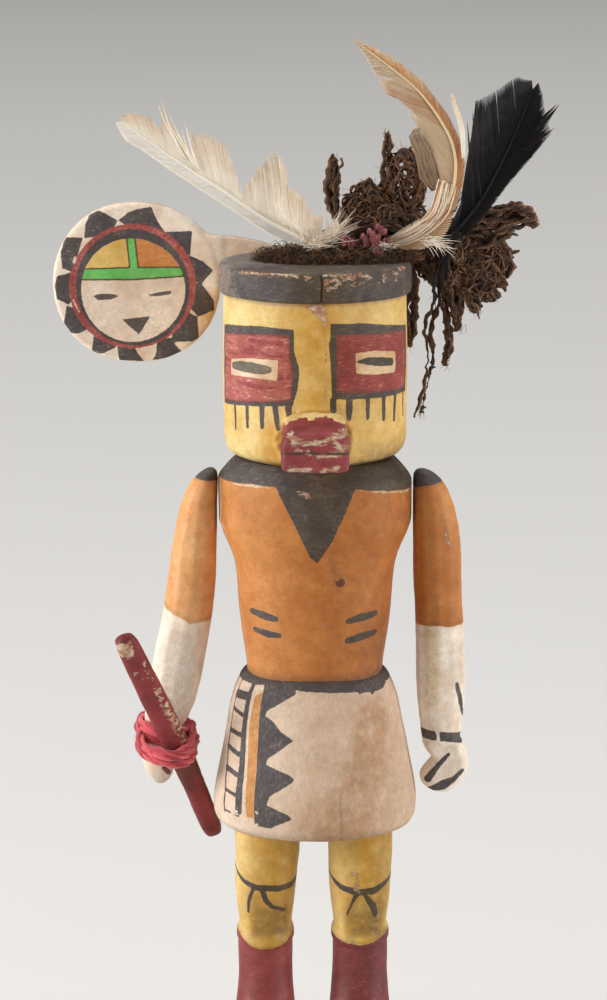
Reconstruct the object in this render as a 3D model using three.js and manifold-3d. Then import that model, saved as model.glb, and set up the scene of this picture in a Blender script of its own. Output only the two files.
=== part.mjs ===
// A kachina doll: a figure carved from one length of cottonwood root, with pegged arms, a glued snout, a
// flat sun tablet let into the back of the brim, a red staff lashed to one hand with yarn, and a crest of
// three feathers, brown down and a tassel of crinkled brown fibre. It stands on a low round base.
//
// Millimetres. +Z is up, the figure faces -Y, and the origin is on the underside of the base, under the
// figure's axis. "Right" and "left" in names are the figure's own, so its right arm is on the -X side.
import * as THREE from "three";
import { mergeVertices } from "three/addons/utils/BufferGeometryUtils.js";
import Module from "manifold-3d";

const wasm = await Module();
wasm.setup();

// ---- Driving dimensions --------------------------------------------------------------------------
const GAP = 0.3; // kept between separate pieces that touch

const BASE_HEIGHT = 12;
const BASE_RADIUS = 37;
const BASE_CENTRE_Y = -4;
const BASE_EDGE = 1.4;

const SOLE_Z = BASE_HEIGHT;
const HEM_Z = 83.4;
const WAIST_Z = 134.2;
const SHOULDER_Z = 203.2;
const BRIM_Z = 256.6;
const TOP_Z = 266;

const HEAD_RADIUS = 29.3;
const BRIM_RADIUS = 30.6;
const CHEST_HALF_WIDTH = 30.8;

const SNOUT = { halfWidth: 10.8, bottom: 205.2, ridge: 217.7, top: 222.6, slit: 211.6, front: -43 };
const SNOUT_SLIT = { height: 0.7, depth: 1.6 };

const TABLET = { x: -57.5, z: 255.5, radiusX: 27, radiusZ: 26.1, square: 2.13, thickness: 5, front: 25.5 };
const TABLET_NECK = { top: 270.6, bottom: 257.2, end: 1.5 };

const STAFF_ROUTE = [[-60.9, -31.5, 151.6], [-44.6, -10, 111.4], [-32.7, 15.4, 75.4]];

const FRONT = new THREE.Vector3(0, -1, 0);

// ---- Geometry helpers ----------------------------------------------------------------------------

// A closed surface through rings of points, each running anticlockwise about the way the rings advance.
function skin(rings) {
  const count = rings[0].length;
  const middle = (ring) =>
    ring.reduce((sum, p) => sum.add(p), new THREE.Vector3()).divideScalar(ring.length);
  const last = rings.length - 1;
  const points = [...rings.flat(), middle(rings[0]), middle(rings[last])];
  const start = rings.length * count;
  const end = start + 1;
  const index = [];
  for (let i = 0; i < count; i++) {
    const next = (i + 1) % count;
    for (let r = 0; r < last; r++) {
      const [a, b] = [r * count + i, r * count + next];
      index.push(a, b, b + count, a, b + count, a + count);
    }
    index.push(start, next, i, end, last * count + i, last * count + next);
  }
  return new THREE.BufferGeometry().setFromPoints(points).setIndex(index);
}

// A manifold-3d solid of a closed geometry.
function solid(geometry) {
  const bare = new THREE.BufferGeometry().setAttribute("position", geometry.getAttribute("position"));
  if (geometry.index) bare.setIndex(geometry.index);
  const merged = mergeVertices(bare, 1e-4);
  return new wasm.Manifold(
    new wasm.Mesh({
      numProp: 3,
      vertProperties: new Float32Array(merged.attributes.position.array),
      triVerts: new Uint32Array(merged.index.array),
    }),
  );
}

const fuse = (solids) => solids.reduce((whole, one) => whole.add(one));

function geometryOf(body) {
  const mesh = body.getMesh();
  const positions = new Float32Array(mesh.numVert * 3);
  for (let i = 0; i < mesh.numVert; i++)
    for (let k = 0; k < 3; k++) positions[3 * i + k] = mesh.vertProperties[i * mesh.numProp + k];
  return new THREE.BufferGeometry()
    .setAttribute("position", new THREE.BufferAttribute(positions, 3))
    .setIndex(new THREE.BufferAttribute(new Uint32Array(mesh.triVerts), 1));
}

const blendOf = (a, b, t) => a + (b - a) * t;

const signedPower = (v, p) => Math.sign(v) * Math.abs(v) ** p;

// One level ring: a superellipse, 2 for an ellipse and more for a squarer one. tilt drops its front.
function levelRing({ z, x = 0, y = 0, rx, ry = rx, square = 2, tilt = 0 }, sides) {
  return Array.from({ length: sides }, (_, i) => {
    const a = (2 * Math.PI * i) / sides;
    const [u, v] = [signedPower(Math.cos(a), 2 / square), signedPower(Math.sin(a), 2 / square)];
    return new THREE.Vector3(x + rx * u, y + ry * v, z + tilt * v);
  });
}

const stack = (sections, sides) => solid(skin(sections.map((section) => levelRing(section, sides))));

// A plate that faces the front, with eased edges: an outline in X and Z, anticlockwise as seen from the
// front, that can all be seen from its middle.
function plate(outline, front, thickness, ease) {
  const inset = (distance) =>
    outline.map((p, i) => {
      const before = outline.at(i - 1);
      const after = outline[(i + 1) % outline.length];
      const along = after.clone().sub(before).normalize();
      return new THREE.Vector2(p.x - distance * along.y, p.y + distance * along.x);
    });
  const rings = [
    [0, ease],
    [ease, 0],
    [thickness - ease, 0],
    [thickness, ease],
  ].map(([depth, distance]) => inset(distance).map((p) => new THREE.Vector3(p.x, front + depth, p.y)));
  return solid(skin(rings.map((ring) => ring.reverse())));
}

// A square-edged board that faces the front, of any outline in X and Z.
function board(shape, front, thickness, segments) {
  const geometry = new THREE.ExtrudeGeometry(shape, {
    depth: thickness,
    bevelEnabled: false,
    curveSegments: segments,
  });
  geometry.rotateX(Math.PI / 2);
  geometry.translate(0, front + thickness, 0);
  return solid(geometry);
}

const curveThrough = (points) =>
  new THREE.CatmullRomCurve3(points.map((p) => new THREE.Vector3(...p)), false, "centripetal");

// The part of a direction that is square to another, at length 1.
const squaredTo = (direction, other) =>
  direction.clone().addScaledVector(other, -direction.dot(other)).normalize();

// ---- The carved figure ---------------------------------------------------------------------------

const BODY_SIDES = 26;
const LEG_SIDES = 14;

function head() {
  const rounded = [
    { z: SHOULDER_Z + 0.2, rx: 23.4 },
    { z: 204.6, rx: 26.3 },
    { z: 206.8, rx: 27.9 },
    { z: 210.5, rx: 28.7 },
    { z: 218, rx: 29.1 },
    { z: 236, rx: HEAD_RADIUS },
    { z: BRIM_Z + 1, rx: 29 },
  ];
  const brim = [
    { z: BRIM_Z, rx: BRIM_RADIUS - 0.9 },
    { z: BRIM_Z + 1.1, rx: BRIM_RADIUS - 0.1 },
    { z: TOP_Z - 1.4, rx: BRIM_RADIUS },
    { z: TOP_Z - 0.3, rx: BRIM_RADIUS - 0.5 },
    { z: TOP_Z, rx: BRIM_RADIUS - 1.5 },
  ];
  return stack(rounded, BODY_SIDES).add(stack(brim, BODY_SIDES));
}

function torso() {
  const rows = [
    { z: WAIST_Z - 2, rx: 21.2, ry: 20.9 },
    { z: 138, rx: 22, ry: 21.5 },
    { z: 152, rx: 24, ry: 23.1 },
    { z: 168, rx: 25.4, ry: 24.4 },
    { z: 172, rx: 26.4, ry: 24.9 },
    { z: 176, rx: 28, ry: 25.4 },
    { z: 180, rx: 29.7, ry: 25.9 },
    { z: 184, rx: CHEST_HALF_WIDTH, ry: 26.2 },
    { z: 197, rx: CHEST_HALF_WIDTH, ry: 26.2 },
    { z: 199.6, rx: 30, ry: 25.6 },
    { z: 201.8, rx: 28, ry: 24.2 },
    { z: SHOULDER_Z + 0.4, rx: 24.8, ry: 22.2 },
  ];
  return stack(rows.map((row) => ({ ...row, square: 2.25 })), BODY_SIDES);
}

function kilt() {
  const rows = [
    [HEM_Z, 27.8],
    [HEM_Z + 0.6, 29.9],
    [HEM_Z + 2.2, 31.6],
    [HEM_Z + 5, 32.5],
    [92, 32.6],
    [97, 32],
    [106, 30.3],
    [115, 28.6],
    [123.5, 27],
    [128, 25.7],
    [131.5, 24.2],
    [WAIST_Z - 0.7, 23],
    [WAIST_Z, 22],
  ];
  return stack(rows.map(([z, rx]) => ({ z, rx, ry: 0.97 * rx })), BODY_SIDES);
}

// A leg in its boot. The yellow legging ends in a low roll over the boot that dips at the front.
function leg(side) {
  const x = side < 0 ? -16 : 14.6;
  const lean = side < 0 ? 0.7 : 0.2;
  const rows = [
    { z: SOLE_Z, y: -7, rx: 9.3, ry: 15.8 },
    { z: SOLE_Z + 1.2, y: -7, rx: 10.1, ry: 16.7 },
    { z: SOLE_Z + 4.5, y: -6.8, rx: 10.3, ry: 16.6 },
    { z: SOLE_Z + 7.5, y: -5.4, rx: 10, ry: 14.6 },
    { z: SOLE_Z + 11, y: -2.8, rx: 9.7, ry: 11.8 },
    { z: SOLE_Z + 15, y: -0.8, rx: 9.3, ry: 9.9 },
    { z: 36, rx: 8.8, ry: 9.1 },
    { z: 45, rx: 8.8, ry: 9, tilt: 2.3 },
    { z: 46.4, rx: 9.3, ry: 9.5, tilt: 2.6 },
    { z: 48, rx: 9.2, ry: 9.4, tilt: 2.4 },
    { z: 50.4, rx: 8.5, ry: 8.8, tilt: 1.6 },
    { z: 57, rx: 9.3, ry: 9.6 },
    { z: 64, rx: 9.9, ry: 10.2 },
    { z: 76, rx: 10.4, ry: 10.5, x: x + lean },
    { z: HEM_Z + 2, rx: 10.5, ry: 10.5, x: x + lean },
  ];
  return stack(rows.map((row) => ({ x, square: 2.15, ...row })), LEG_SIDES);
}

// The flat seat sawn into the back of the brim, which the tablet's neck is glued to.
function tabletSeat() {
  const block = new THREE.BoxGeometry(34, 12, 24);
  block.translate(-14.5, TABLET.front - GAP + 6, TABLET_NECK.bottom - GAP + 12);
  return solid(block);
}

function figure() {
  return fuse([head(), torso(), kilt(), leg(-1), leg(1)]).subtract(tabletSeat());
}

// ---- Snout ---------------------------------------------------------------------------------------

// A block with a sloping top, split by a mouth, its back hollowed to sit on the round of the face.
function snout() {
  const { halfWidth, bottom, ridge, top, slit, front } = SNOUT;
  const arch = (y, half, low, high) => {
    const corner = 2.4;
    const outline = [
      [-half + corner, low],
      [half - corner, low],
      [half - 0.5, low + 0.8],
      [half, low + corner],
      [half, high - 4.4],
      [half - 1.2, high - 2],
      [half - 3.8, high - 0.6],
      [0, high],
      [-half + 3.8, high - 0.6],
      [-half + 1.2, high - 2],
      [-half, high - 4.4],
      [-half, low + corner],
      [-half + 0.5, low + 0.8],
    ];
    return outline.map(([x, z]) => new THREE.Vector3(x, y, z));
  };
  const block = skin([
    arch(-20, halfWidth - 0.9, bottom + 0.6, top + 1.2),
    arch(-31, halfWidth - 0.7, bottom + 0.3, top - 0.4),
    arch(front + 2.2, halfWidth, bottom, ridge + 0.9),
    arch(front + 0.6, halfWidth - 0.4, bottom + 0.3, ridge - 0.1),
    arch(front, halfWidth - 1.4, bottom + 1.2, ridge - 1.3),
  ].map((ring) => ring.reverse()).reverse());
  const face = stack(
    [
      { z: bottom - 5, rx: HEAD_RADIUS + GAP },
      { z: top + 5, rx: HEAD_RADIUS + GAP },
    ],
    2 * BODY_SIDES,
  );
  const mouth = new THREE.BoxGeometry(3 * halfWidth, 2 * SNOUT_SLIT.depth, SNOUT_SLIT.height);
  mouth.translate(0, front, slit);
  return solid(block).subtract(face).subtract(solid(mouth));
}

// ---- Arms ----------------------------------------------------------------------------------------

const ARM_SIDES = 12;

// An arm from its inner and outer edges: rows of [z, inner x, outer x, middle y, half depth].
function arm(side, rows, grow = 0) {
  return stack(
    rows.map(([z, inner, outer, y, depth]) => ({
      z,
      x: (side * (inner + outer)) / 2,
      y,
      rx: (outer - inner) / 2 + grow,
      ry: depth + grow,
      square: 2.15,
    })),
    ARM_SIDES,
  );
}

const RIGHT_ARM = [
  [97.2, 48.4, 51, -5.4, 1.6],
  [98.6, 46.6, 53, -5.2, 3.2],
  [101.5, 45.2, 54.8, -4.8, 4.2],
  [105.5, 44.5, 55.7, -4.2, 4.6],
  [109, 44.2, 55.7, -3.6, 4.7],
  [112.5, 43.6, 55.5, -3, 4.9],
  [116.5, 41.6, 55.3, -2.6, 5.4],
  [123, 38.6, 54.6, -2, 6.1],
  [131, 36.5, 53.5, -1.5, 6.6],
  [143, 34.3, 51.1, -0.9, 7],
  [155, 32.4, 48.4, -0.4, 7],
  [163, 31.6, 47.3, -0.2, 7.1],
  [172, 31.3, 46.3, 0, 7.1],
  [180, 31.15, 44.9, 0, 7],
  [187, 31.15, 43.4, 0, 6.7],
  [192, 31.15, 41.5, 0, 6.3],
  [195.6, 31.15, 39.3, 0, 5.5],
  [198, 31.3, 36.4, 0, 4.2],
  [199.4, 32.2, 34.3, 0, 1.8],
];

const LEFT_ARM = [
  [107.6, 35.6, 46.2, -0.6, 4.3],
  [109.6, 34.7, 46.7, -0.6, 4.8],
  [112, 34.3, 46.8, -0.6, 5.1],
  [117, 33.6, 47.5, -0.6, 5.7],
  [124, 32.8, 48.4, -0.6, 6.4],
  [131, 32.3, 48.7, -0.5, 6.9],
  [144, 32.2, 48.1, -0.35, 7.25],
  [156, 31.8, 47.4, -0.2, 7.3],
  [164, 31.3, 47.1, -0.1, 7.3],
  [172, 31.15, 46.9, 0, 7.2],
  [180, 31.15, 46.3, 0, 7.1],
  [187, 31.15, 44.8, 0, 6.8],
  [192, 31.15, 42.8, 0, 6.4],
  [195.6, 31.15, 40.6, 0, 5.6],
  [198, 31.3, 37.8, 0, 4.3],
  [199.3, 32.4, 35.2, 0, 2],
];

// The left hand: a fist seen from the front, thumb above and fingers hooked below, the open grip between.
function leftHand() {
  const shape = new THREE.Shape();
  shape.moveTo(35, 111);
  shape.quadraticCurveTo(34.9, 107.4, 38.3, 105.3);
  shape.lineTo(34.8, 101.2);
  shape.quadraticCurveTo(32.8, 98.4, 35.4, 96);
  shape.quadraticCurveTo(40.6, 91.9, 45.1, 95.6);
  shape.quadraticCurveTo(49.2, 99.4, 49.4, 103.4);
  shape.quadraticCurveTo(49.3, 107.4, 46.9, 111);
  return plate(shape.getPoints(4), -5.6, 9.8, 1.8);
}

// ---- Sun tablet ----------------------------------------------------------------------------------

// The round painted board with its edges eased, and the neck that reaches from it to the seat in the brim.
function tablet() {
  const { x, z, radiusX, radiusZ, square, thickness, front } = TABLET;
  const { top, bottom, end } = TABLET_NECK;
  const disc = levelRing({ z: 0, x, y: z, rx: radiusX, ry: radiusZ, square }, 36).map(
    (point) => new THREE.Vector2(point.x, point.y),
  );
  const neck = new THREE.Shape();
  neck.moveTo(x, bottom);
  neck.lineTo(-3, bottom);
  neck.quadraticCurveTo(end, bottom + 0.4, end, bottom + 4);
  neck.quadraticCurveTo(end, top - 5, -4, top - 4.6);
  neck.lineTo(-13.8, top - 3);
  neck.quadraticCurveTo(-22, top - 0.2, -31, top);
  neck.quadraticCurveTo(-36.4, top + 0.4, -42.4, top + 5.6);
  neck.lineTo(x, z + 12);
  neck.closePath();
  return plate(disc, front, thickness, 0.8).add(board(neck, front + 0.3, thickness - 0.6, 4));
}

// ---- Staff and its lashing -----------------------------------------------------------------------

// A whittled bar, widest where the hand holds it, as [place along it, half width, half depth].
const STAFF_SECTIONS = [
  [0, 1.7, 1.2],
  [0.02, 3.1, 2.3],
  [0.06, 3.7, 2.8],
  [0.3, 4.1, 3],
  [0.5, 4.2, 3.1],
  [0.7, 3.6, 3.1],
  [0.94, 3.3, 3],
  [0.985, 2.6, 2.3],
  [1, 1.5, 1.3],
];

function staff(grow = 0) {
  const curve = curveThrough(STAFF_ROUTE);
  const sides = 14;
  const square = 2.7;
  const rings = STAFF_SECTIONS.map(([s, half, depth]) => {
    const [p, t] = [curve.getPointAt(s), curve.getTangentAt(s)];
    const depthways = squaredTo(FRONT, t);
    const widthways = new THREE.Vector3().crossVectors(depthways, t);
    return Array.from({ length: sides }, (_, i) => {
      const a = (2 * Math.PI * i) / sides;
      const [u, v] = [signedPower(Math.cos(a), 2 / square), signedPower(Math.sin(a), 2 / square)];
      return p.clone()
        .addScaledVector(depthways, (depth + grow) * u)
        .addScaledVector(widthways, -(half + grow) * v);
    });
  });
  return solid(skin(rings));
}

// One flat-sided turn of yarn: an oval ring about a level or leaning plane.
function yarnTurn({ centre, rx, ry, thickness, height, leanX = 0, leanY = 0 }) {
  const steps = 16;
  const inner = [];
  const point = (r, a, up) =>
    new THREE.Vector3(
      centre[0] + (rx + r) * Math.cos(a),
      centre[1] + (ry + r) * Math.sin(a),
      centre[2] + up + leanX * Math.cos(a) + leanY * Math.sin(a),
    );
  for (let i = 0; i < steps; i++) {
    const a = (2 * Math.PI * i) / steps;
    inner.push([
      point(-thickness / 2, a, -height / 4),
      point(-thickness / 2, a, height / 4),
      point(0, a, height / 2),
      point(thickness / 2, a, height / 4),
      point(thickness / 2, a, -height / 4),
      point(0, a, -height / 2),
    ]);
  }
  const sides = inner[0].length;
  const index = [];
  for (let i = 0; i < steps; i++)
    for (let k = 0; k < sides; k++) {
      const [a, b] = [i * sides + k, i * sides + ((k + 1) % sides)];
      const [c, d] = [((i + 1) % steps) * sides + k, ((i + 1) % steps) * sides + ((k + 1) % sides)];
      index.push(a, b, d, a, d, c);
    }
  return solid(new THREE.BufferGeometry().setFromPoints(inner.flat()).setIndex(index));
}

// The yarn crosses low in front of the staff and climbs behind it; other turns go round the wrist alone.
function lashing() {
  const overStaff = yarnTurn({
    centre: [-47.6, -6.3, 111], rx: 8.9, ry: 9.4, thickness: 2.2, height: 5, leanX: -1.2, leanY: 3.4,
  });
  const roundWrist = yarnTurn({
    centre: [-48.4, -2.6, 114.2], rx: 8.1, ry: 6.6, thickness: 2.2, height: 5.6, leanX: -0.6, leanY: 1.2,
  });
  return overStaff.add(roundWrist).subtract(staff(GAP)).subtract(arm(-1, RIGHT_ARM, GAP));
}

const rightArm = () => arm(-1, RIGHT_ARM).subtract(staff(GAP));

// ---- Feathers ------------------------------------------------------------------------------------

// A feather by its shaft, from quill to tip, and the outlines of its two vanes in X and Z, from quill to tip
// too. Barbs leave the shaft at an angle that closes towards the tip and end at the outline; curl bends them
// back.
const WHITE_FEATHER = {
  shaft: [
    [1.4, 0.5, 269.6], [-5, 0, 273.4], [-15.6, -0.7, 279.4], [-29.2, -2, 288.8], [-44.3, -3.6, 298.9],
    [-54.7, -4.8, 306.4], [-61, -5.6, 310.8],
  ],
  upper: [
    [2.6, 271.6], [9.8, 281.6], [5.4, 280.2], [-0.6, 280.8], [-3.8, 287.4], [-8.8, 290.9],
    [-8.6, 296.7], [-12.7, 301.5], [-20.6, 292.9], [-22.9, 286.6], [-27.1, 300.9], [-29.2, 304.4],
    [-40, 308.2], [-37.4, 297.4], [-46, 312.6], [-42, 301.8], [-49, 316.8], [-48.6, 307.6],
    [-52.1, 312.5], [-56.7, 314.1], [-62, 313.3],
  ],
  lower: [
    [-2, 270.8], [-10.4, 272.7], [-15.6, 275.1], [-31.3, 285.6], [-45.9, 295.3], [-55.8, 302.7],
    [-59.9, 304.8], [-62.8, 310.2], [-62, 313.3],
  ],
  upperAngles: [66, 20],
  lowerAngles: [26, 24],
  curl: 0.004,
};

const TAN_FEATHER = {
  shaft: [
    [20.2, 4.4, 270], [27.6, 3.7, 271.7], [33.7, 2.8, 274.9], [41.2, 1.2, 283.1], [44.3, -0.4, 293],
    [43.6, -1, 302.7], [39, -2, 311.9], [31.9, -2.7, 321.1], [23.3, -3.4, 328.3], [12.8, -4.2, 336.2],
  ],
  upper: [
    [21, 269], [34.7, 269.2], [40.8, 272.8], [42.6, 275.4], [43.7, 281.6], [46.4, 290.4], [47.1, 297.6],
    [45.6, 305], [41.5, 313.5], [33.3, 323.7], [25.8, 330], [17.7, 334.8], [12, 337],
  ],
  lower: [
    [21, 271], [26.6, 275.4], [35.7, 280.8], [39.2, 286.8], [39.7, 294.4], [36.5, 302.7], [33.6, 303],
    [29.2, 307.3], [31.4, 309], [29.6, 313.4], [33.2, 312.6], [25.8, 318.2], [19.2, 323.9],
    [26.8, 325.1], [18.5, 325.5], [15.7, 330.8], [12, 337],
  ],
  upperAngles: [24, 18],
  lowerAngles: [24, 42],
  curl: 0.006,
};

const BLACK_FEATHER = {
  shaft: [
    [33.6, 12.6, 268.6], [39.4, 12.8, 270], [46.1, 13, 275.1], [53.7, 13, 284.9], [62.2, 13, 301.7],
    [66.2, 13, 311.4], [69.2, 13, 319.4],
  ],
  upper: [
    [41, 268.6], [49.4, 273], [56.3, 281.3], [61, 288], [67.3, 295.1], [70.9, 300.7], [76.4, 306.6],
    [76.2, 308.4], [78.2, 314.2], [75, 312.8], [72.7, 320], [70.7, 322.3],
  ],
  lower: [
    [36, 270], [43.8, 277.2], [47.1, 284.4], [49.5, 296.6], [49.6, 305], [47.9, 313.7], [53.5, 316.5],
    [61.6, 321.6], [64.4, 323.6], [70.7, 322.3],
  ],
  upperAngles: [34, 20],
  lowerAngles: [42, 34],
  curl: 0.003,
};

// How far a ray in X and Z runs from a point to an outline, or a stub where it meets none.
function reach(outline, origin, direction, stub = 0.5) {
  let nearest = Infinity;
  for (let i = 1; i < outline.length; i++) {
    const [[x0, z0], [x1, z1]] = [outline[i - 1], outline[i]];
    const [ex, ez] = [x1 - x0, z1 - z0];
    const cross = direction.x * ez - direction.z * ex;
    const distance = ((x0 - origin.x) * ez - (z0 - origin.z) * ex) / cross;
    const share = ((x0 - origin.x) * direction.z - (z0 - origin.z) * direction.x) / cross;
    if (share >= 0 && share <= 1 && distance > stub) nearest = Math.min(nearest, distance);
  }
  return nearest === Infinity ? stub : nearest;
}

function feather({ shaft, upper, lower, upperAngles, lowerAngles, curl }, grow = 0) {
  const curve = curveThrough(shaft);
  const stations = 28;
  const vane = 0.4 + grow;
  const rings = [];
  for (let i = 0; i <= stations; i++) {
    const s = i / stations;
    const [p, t] = [curve.getPointAt(s), curve.getTangentAt(s)];
    const n = squaredTo(FRONT, t);
    const across = new THREE.Vector3().crossVectors(t, n);
    const quill = blendOf(0.85, 0.5, s) + grow;
    const tip = (outline, [baseAngle, tipAngle], side) => {
      const angle = THREE.MathUtils.degToRad(blendOf(baseAngle, tipAngle, s));
      const barb = t.clone().multiplyScalar(Math.cos(angle)).addScaledVector(across, side * Math.sin(angle));
      const length = reach(outline, p, barb) + grow;
      return p.clone().addScaledVector(barb, length).addScaledVector(n, -curl * length * length);
    };
    const [r, l] = [tip(upper, upperAngles, 1), tip(lower, lowerAngles, -1)];
    const off = (point, d) => point.clone().addScaledVector(n, d);
    rings.push([off(p, quill), off(r, vane), off(r, -vane), off(p, -quill), off(l, -vane), off(l, vane)]);
  }
  const start = curve.getTangentAt(0);
  if (grow > 0) rings.unshift(rings[0].map((point) => point.clone().addScaledVector(start, -grow)));
  return solid(skin(rings));
}

// The feathers with a clear space round them, for what they stand in.
const featherSpace = () =>
  fuse([WHITE_FEATHER, TAN_FEATHER, BLACK_FEATHER].flatMap((spec) => [feather(spec), feather(spec, 2 * GAP)]));

// A fat turn of red yarn round the tan feather's quill, and its knot.
const TIE = { at: 0.03, radius: 2.2, yarn: 1.3, knot: 1.9 };

function featherTie() {
  const curve = curveThrough(TAN_FEATHER.shaft);
  const [p, t] = [curve.getPointAt(TIE.at), curve.getTangentAt(TIE.at)];
  const turn = new THREE.TorusGeometry(TIE.radius, TIE.yarn, 6, 10);
  turn.applyQuaternion(new THREE.Quaternion().setFromUnitVectors(new THREE.Vector3(0, 0, 1), t));
  turn.translate(p.x, p.y, p.z);
  const knot = new THREE.SphereGeometry(TIE.knot, 8, 6);
  const up = squaredTo(new THREE.Vector3(-0.2, -0.5, 1), t).multiplyScalar(TIE.radius + 1);
  knot.translate(p.x + up.x, p.y + up.y, p.z + up.z);
  return solid(turn).add(solid(knot)).subtract(featherSpace());
}

function tieSpace() {
  const ball = new THREE.SphereGeometry(TIE.radius + 2 * TIE.yarn + 0.6, 10, 7);
  const p = curveThrough(TAN_FEATHER.shaft).getPointAt(TIE.at);
  ball.translate(p.x, p.y, p.z);
  return solid(ball);
}

// ---- Down and fibre ------------------------------------------------------------------------------

// The tied bundle of fibre: a rounded mass on the brim and a second one that hangs past its edge.
const BUNDLE = [
  { x: 22.5, y: 15, z: 273.6, rx: 15.5, ry: 8.4, rz: 10.4 },
  { x: 41, y: 20, z: 266, rx: 9, ry: 6, rz: 11 },
  { x: 51, y: 23, z: 262, rx: 10.5, ry: 5, rz: 11 },
];

// Ribbons of crinkled fibre, each the points it runs through, from the bundle outwards.
const STRANDS = [
  [[13, 15, 273], [7.4, 15, 279], [5.8, 14.5, 289], [6.6, 14, 297.5]],
  [[20, 15, 276], [22, 15, 285], [23, 14.6, 295], [22.6, 14.4, 305.6]],
  [[20, 15, 278], [23.4, 15.5, 291], [27, 15.5, 300], [32, 16, 297], [33, 16, 287], [28, 16, 278]],
  [[42, 20, 272], [52, 22, 277.4], [62, 22.5, 279.4], [67.4, 23, 278], [71.6, 24, 274.6]],
  [[46, 22, 268], [57, 24, 269], [62.6, 25, 263], [61.4, 26, 256.4]],
  [[47, 22, 262], [55, 25, 256], [58.4, 26, 250.6]],
  [[44, 22, 262], [50, 26, 252], [52, 27, 245.4]],
  [[41, 22, 262], [45, 26, 249], [47, 27, 239.6]],
  [[40, 22, 262], [42, 26, 246], [43.4, 27, 234], [42, 27, 228]],
  [[36, 22, 262], [40, 28, 250], [37.4, 30, 240], [38.6, 31, 231], [36, 32, 219], [34.4, 32, 211]],
  [[24, 20, 272], [28, 29, 268.6], [32, 33, 260], [32, 35, 246], [31, 36, 233]],
  [[20, 20, 272], [21.5, 30.5, 268.8], [25, 35.6, 260], [26, 37, 244], [24, 37.6, 227]],
  [[16, 20, 271], [14.5, 32, 268.8], [17, 36.6, 260], [18.4, 38, 243], [16.6, 38, 222]],
  [[15, 18, 272], [8, 32.5, 268.8], [8.4, 37, 260], [10, 38.4, 244], [8, 38.4, 231]],
  [[14, 17, 272], [2.4, 32.5, 268.6], [0, 37, 260], [1, 38.4, 247], [-0.6, 38.4, 239]],
];

function strand(points, grow = 0) {
  const curve = curveThrough(points);
  const steps = 2 + 2 * points.length;
  const facing = new THREE.Vector3(0.15, -1, 0.35).normalize();
  const rings = [];
  for (let i = 0; i <= steps; i++) {
    const s = i / steps;
    const [p, t] = [curve.getPointAt(s), curve.getTangentAt(s)];
    const n = squaredTo(facing, t);
    const w = new THREE.Vector3().crossVectors(t, n);
    const half = 1.9 - 0.9 * s + grow;
    const thick = 0.8 + grow;
    const crinkle = 0.8 * Math.sin(2.4 * i);
    p.addScaledVector(n, crinkle);
    rings.push([
      p.clone().addScaledVector(n, thick),
      p.clone().addScaledVector(w, half),
      p.clone().addScaledVector(n, -thick),
      p.clone().addScaledVector(w, -half),
    ]);
  }
  return solid(skin(rings));
}

// Rounded masses, ruffled all over as crumpled fibre is.
function bundle(grow = 0) {
  const balls = BUNDLE.map(({ x, y, z, rx, ry, rz }) => {
    const ball = new THREE.SphereGeometry(1, 12, 8);
    const at = ball.getAttribute("position");
    for (let i = 0; i < at.count; i++) {
      const [u, v, w] = [at.getX(i), at.getY(i), at.getZ(i)];
      const swell = 1 + 0.1 * Math.sin(7 * u + 3 * w) + 0.09 * Math.sin(6 * w - 5 * u + 4 * v);
      at.setXYZ(i, x + (rx * swell + grow) * u, y + (ry * swell + grow) * v, z + (rz * swell + grow) * w);
    }
    return solid(ball);
  });
  return fuse(balls);
}

// The space of the figure's head and the tablet's neck, grown by the gap, which the fibre keeps out of.
function crownSpace() {
  const column = stack(
    [
      { z: 150, rx: BRIM_RADIUS + GAP },
      { z: TOP_Z + GAP, rx: BRIM_RADIUS + GAP },
    ],
    BODY_SIDES,
  );
  const neck = new THREE.BoxGeometry(60, TABLET.thickness + 2 * GAP, 40);
  neck.translate(TABLET_NECK.end - 30 + GAP, TABLET.front + TABLET.thickness / 2, TABLET_NECK.top - 20);
  return column.add(solid(neck));
}

function tassel() {
  return fuse([bundle(), ...STRANDS.map((points) => strand(points))])
    .subtract(crownSpace())
    .subtract(featherSpace())
    .subtract(tieSpace());
}

// A low pad of down on the brim, in front of the fibre.
function crownDown() {
  const rows = [
    [GAP, 24.2, 13.2],
    [1.6, 25, 14],
    [3.4, 22, 11.6],
    [4.8, 15, 7.4],
    [5.4, 6, 3],
  ].map(([rise, rx, ry]) => ({ x: 6, y: 4.6, z: TOP_Z + rise, rx, ry }));
  return stack(rows, 18).subtract(bundle(2 * GAP)).subtract(featherSpace()).subtract(tieSpace());
}

// ---- Base ----------------------------------------------------------------------------------------

// A sawn slice of root, slightly out of round.
function base() {
  const rows = [
    [0, -BASE_EDGE / 2],
    [BASE_EDGE / 2, 0],
    [BASE_HEIGHT - BASE_EDGE, 0],
    [BASE_HEIGHT, -BASE_EDGE],
  ];
  const sides = 36;
  const rings = rows.map(([z, inset]) =>
    Array.from({ length: sides }, (_, i) => {
      const a = (2 * Math.PI * i) / sides;
      const r = BASE_RADIUS + 0.7 * Math.cos(2 * a + 0.6) + 0.4 * Math.cos(3 * a) + inset;
      return new THREE.Vector3(r * Math.cos(a), BASE_CENTRE_Y + r * Math.sin(a), z);
    }),
  );
  return solid(skin(rings));
}

// ---- The doll ------------------------------------------------------------------------------------

const doll = new THREE.Group();

function add(name, body, color, roughness = 0.85) {
  const material = new THREE.MeshStandardMaterial({ color, roughness, metalness: 0 });
  const mesh = new THREE.Mesh(geometryOf(body), material);
  mesh.name = name;
  doll.add(mesh);
}

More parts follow.
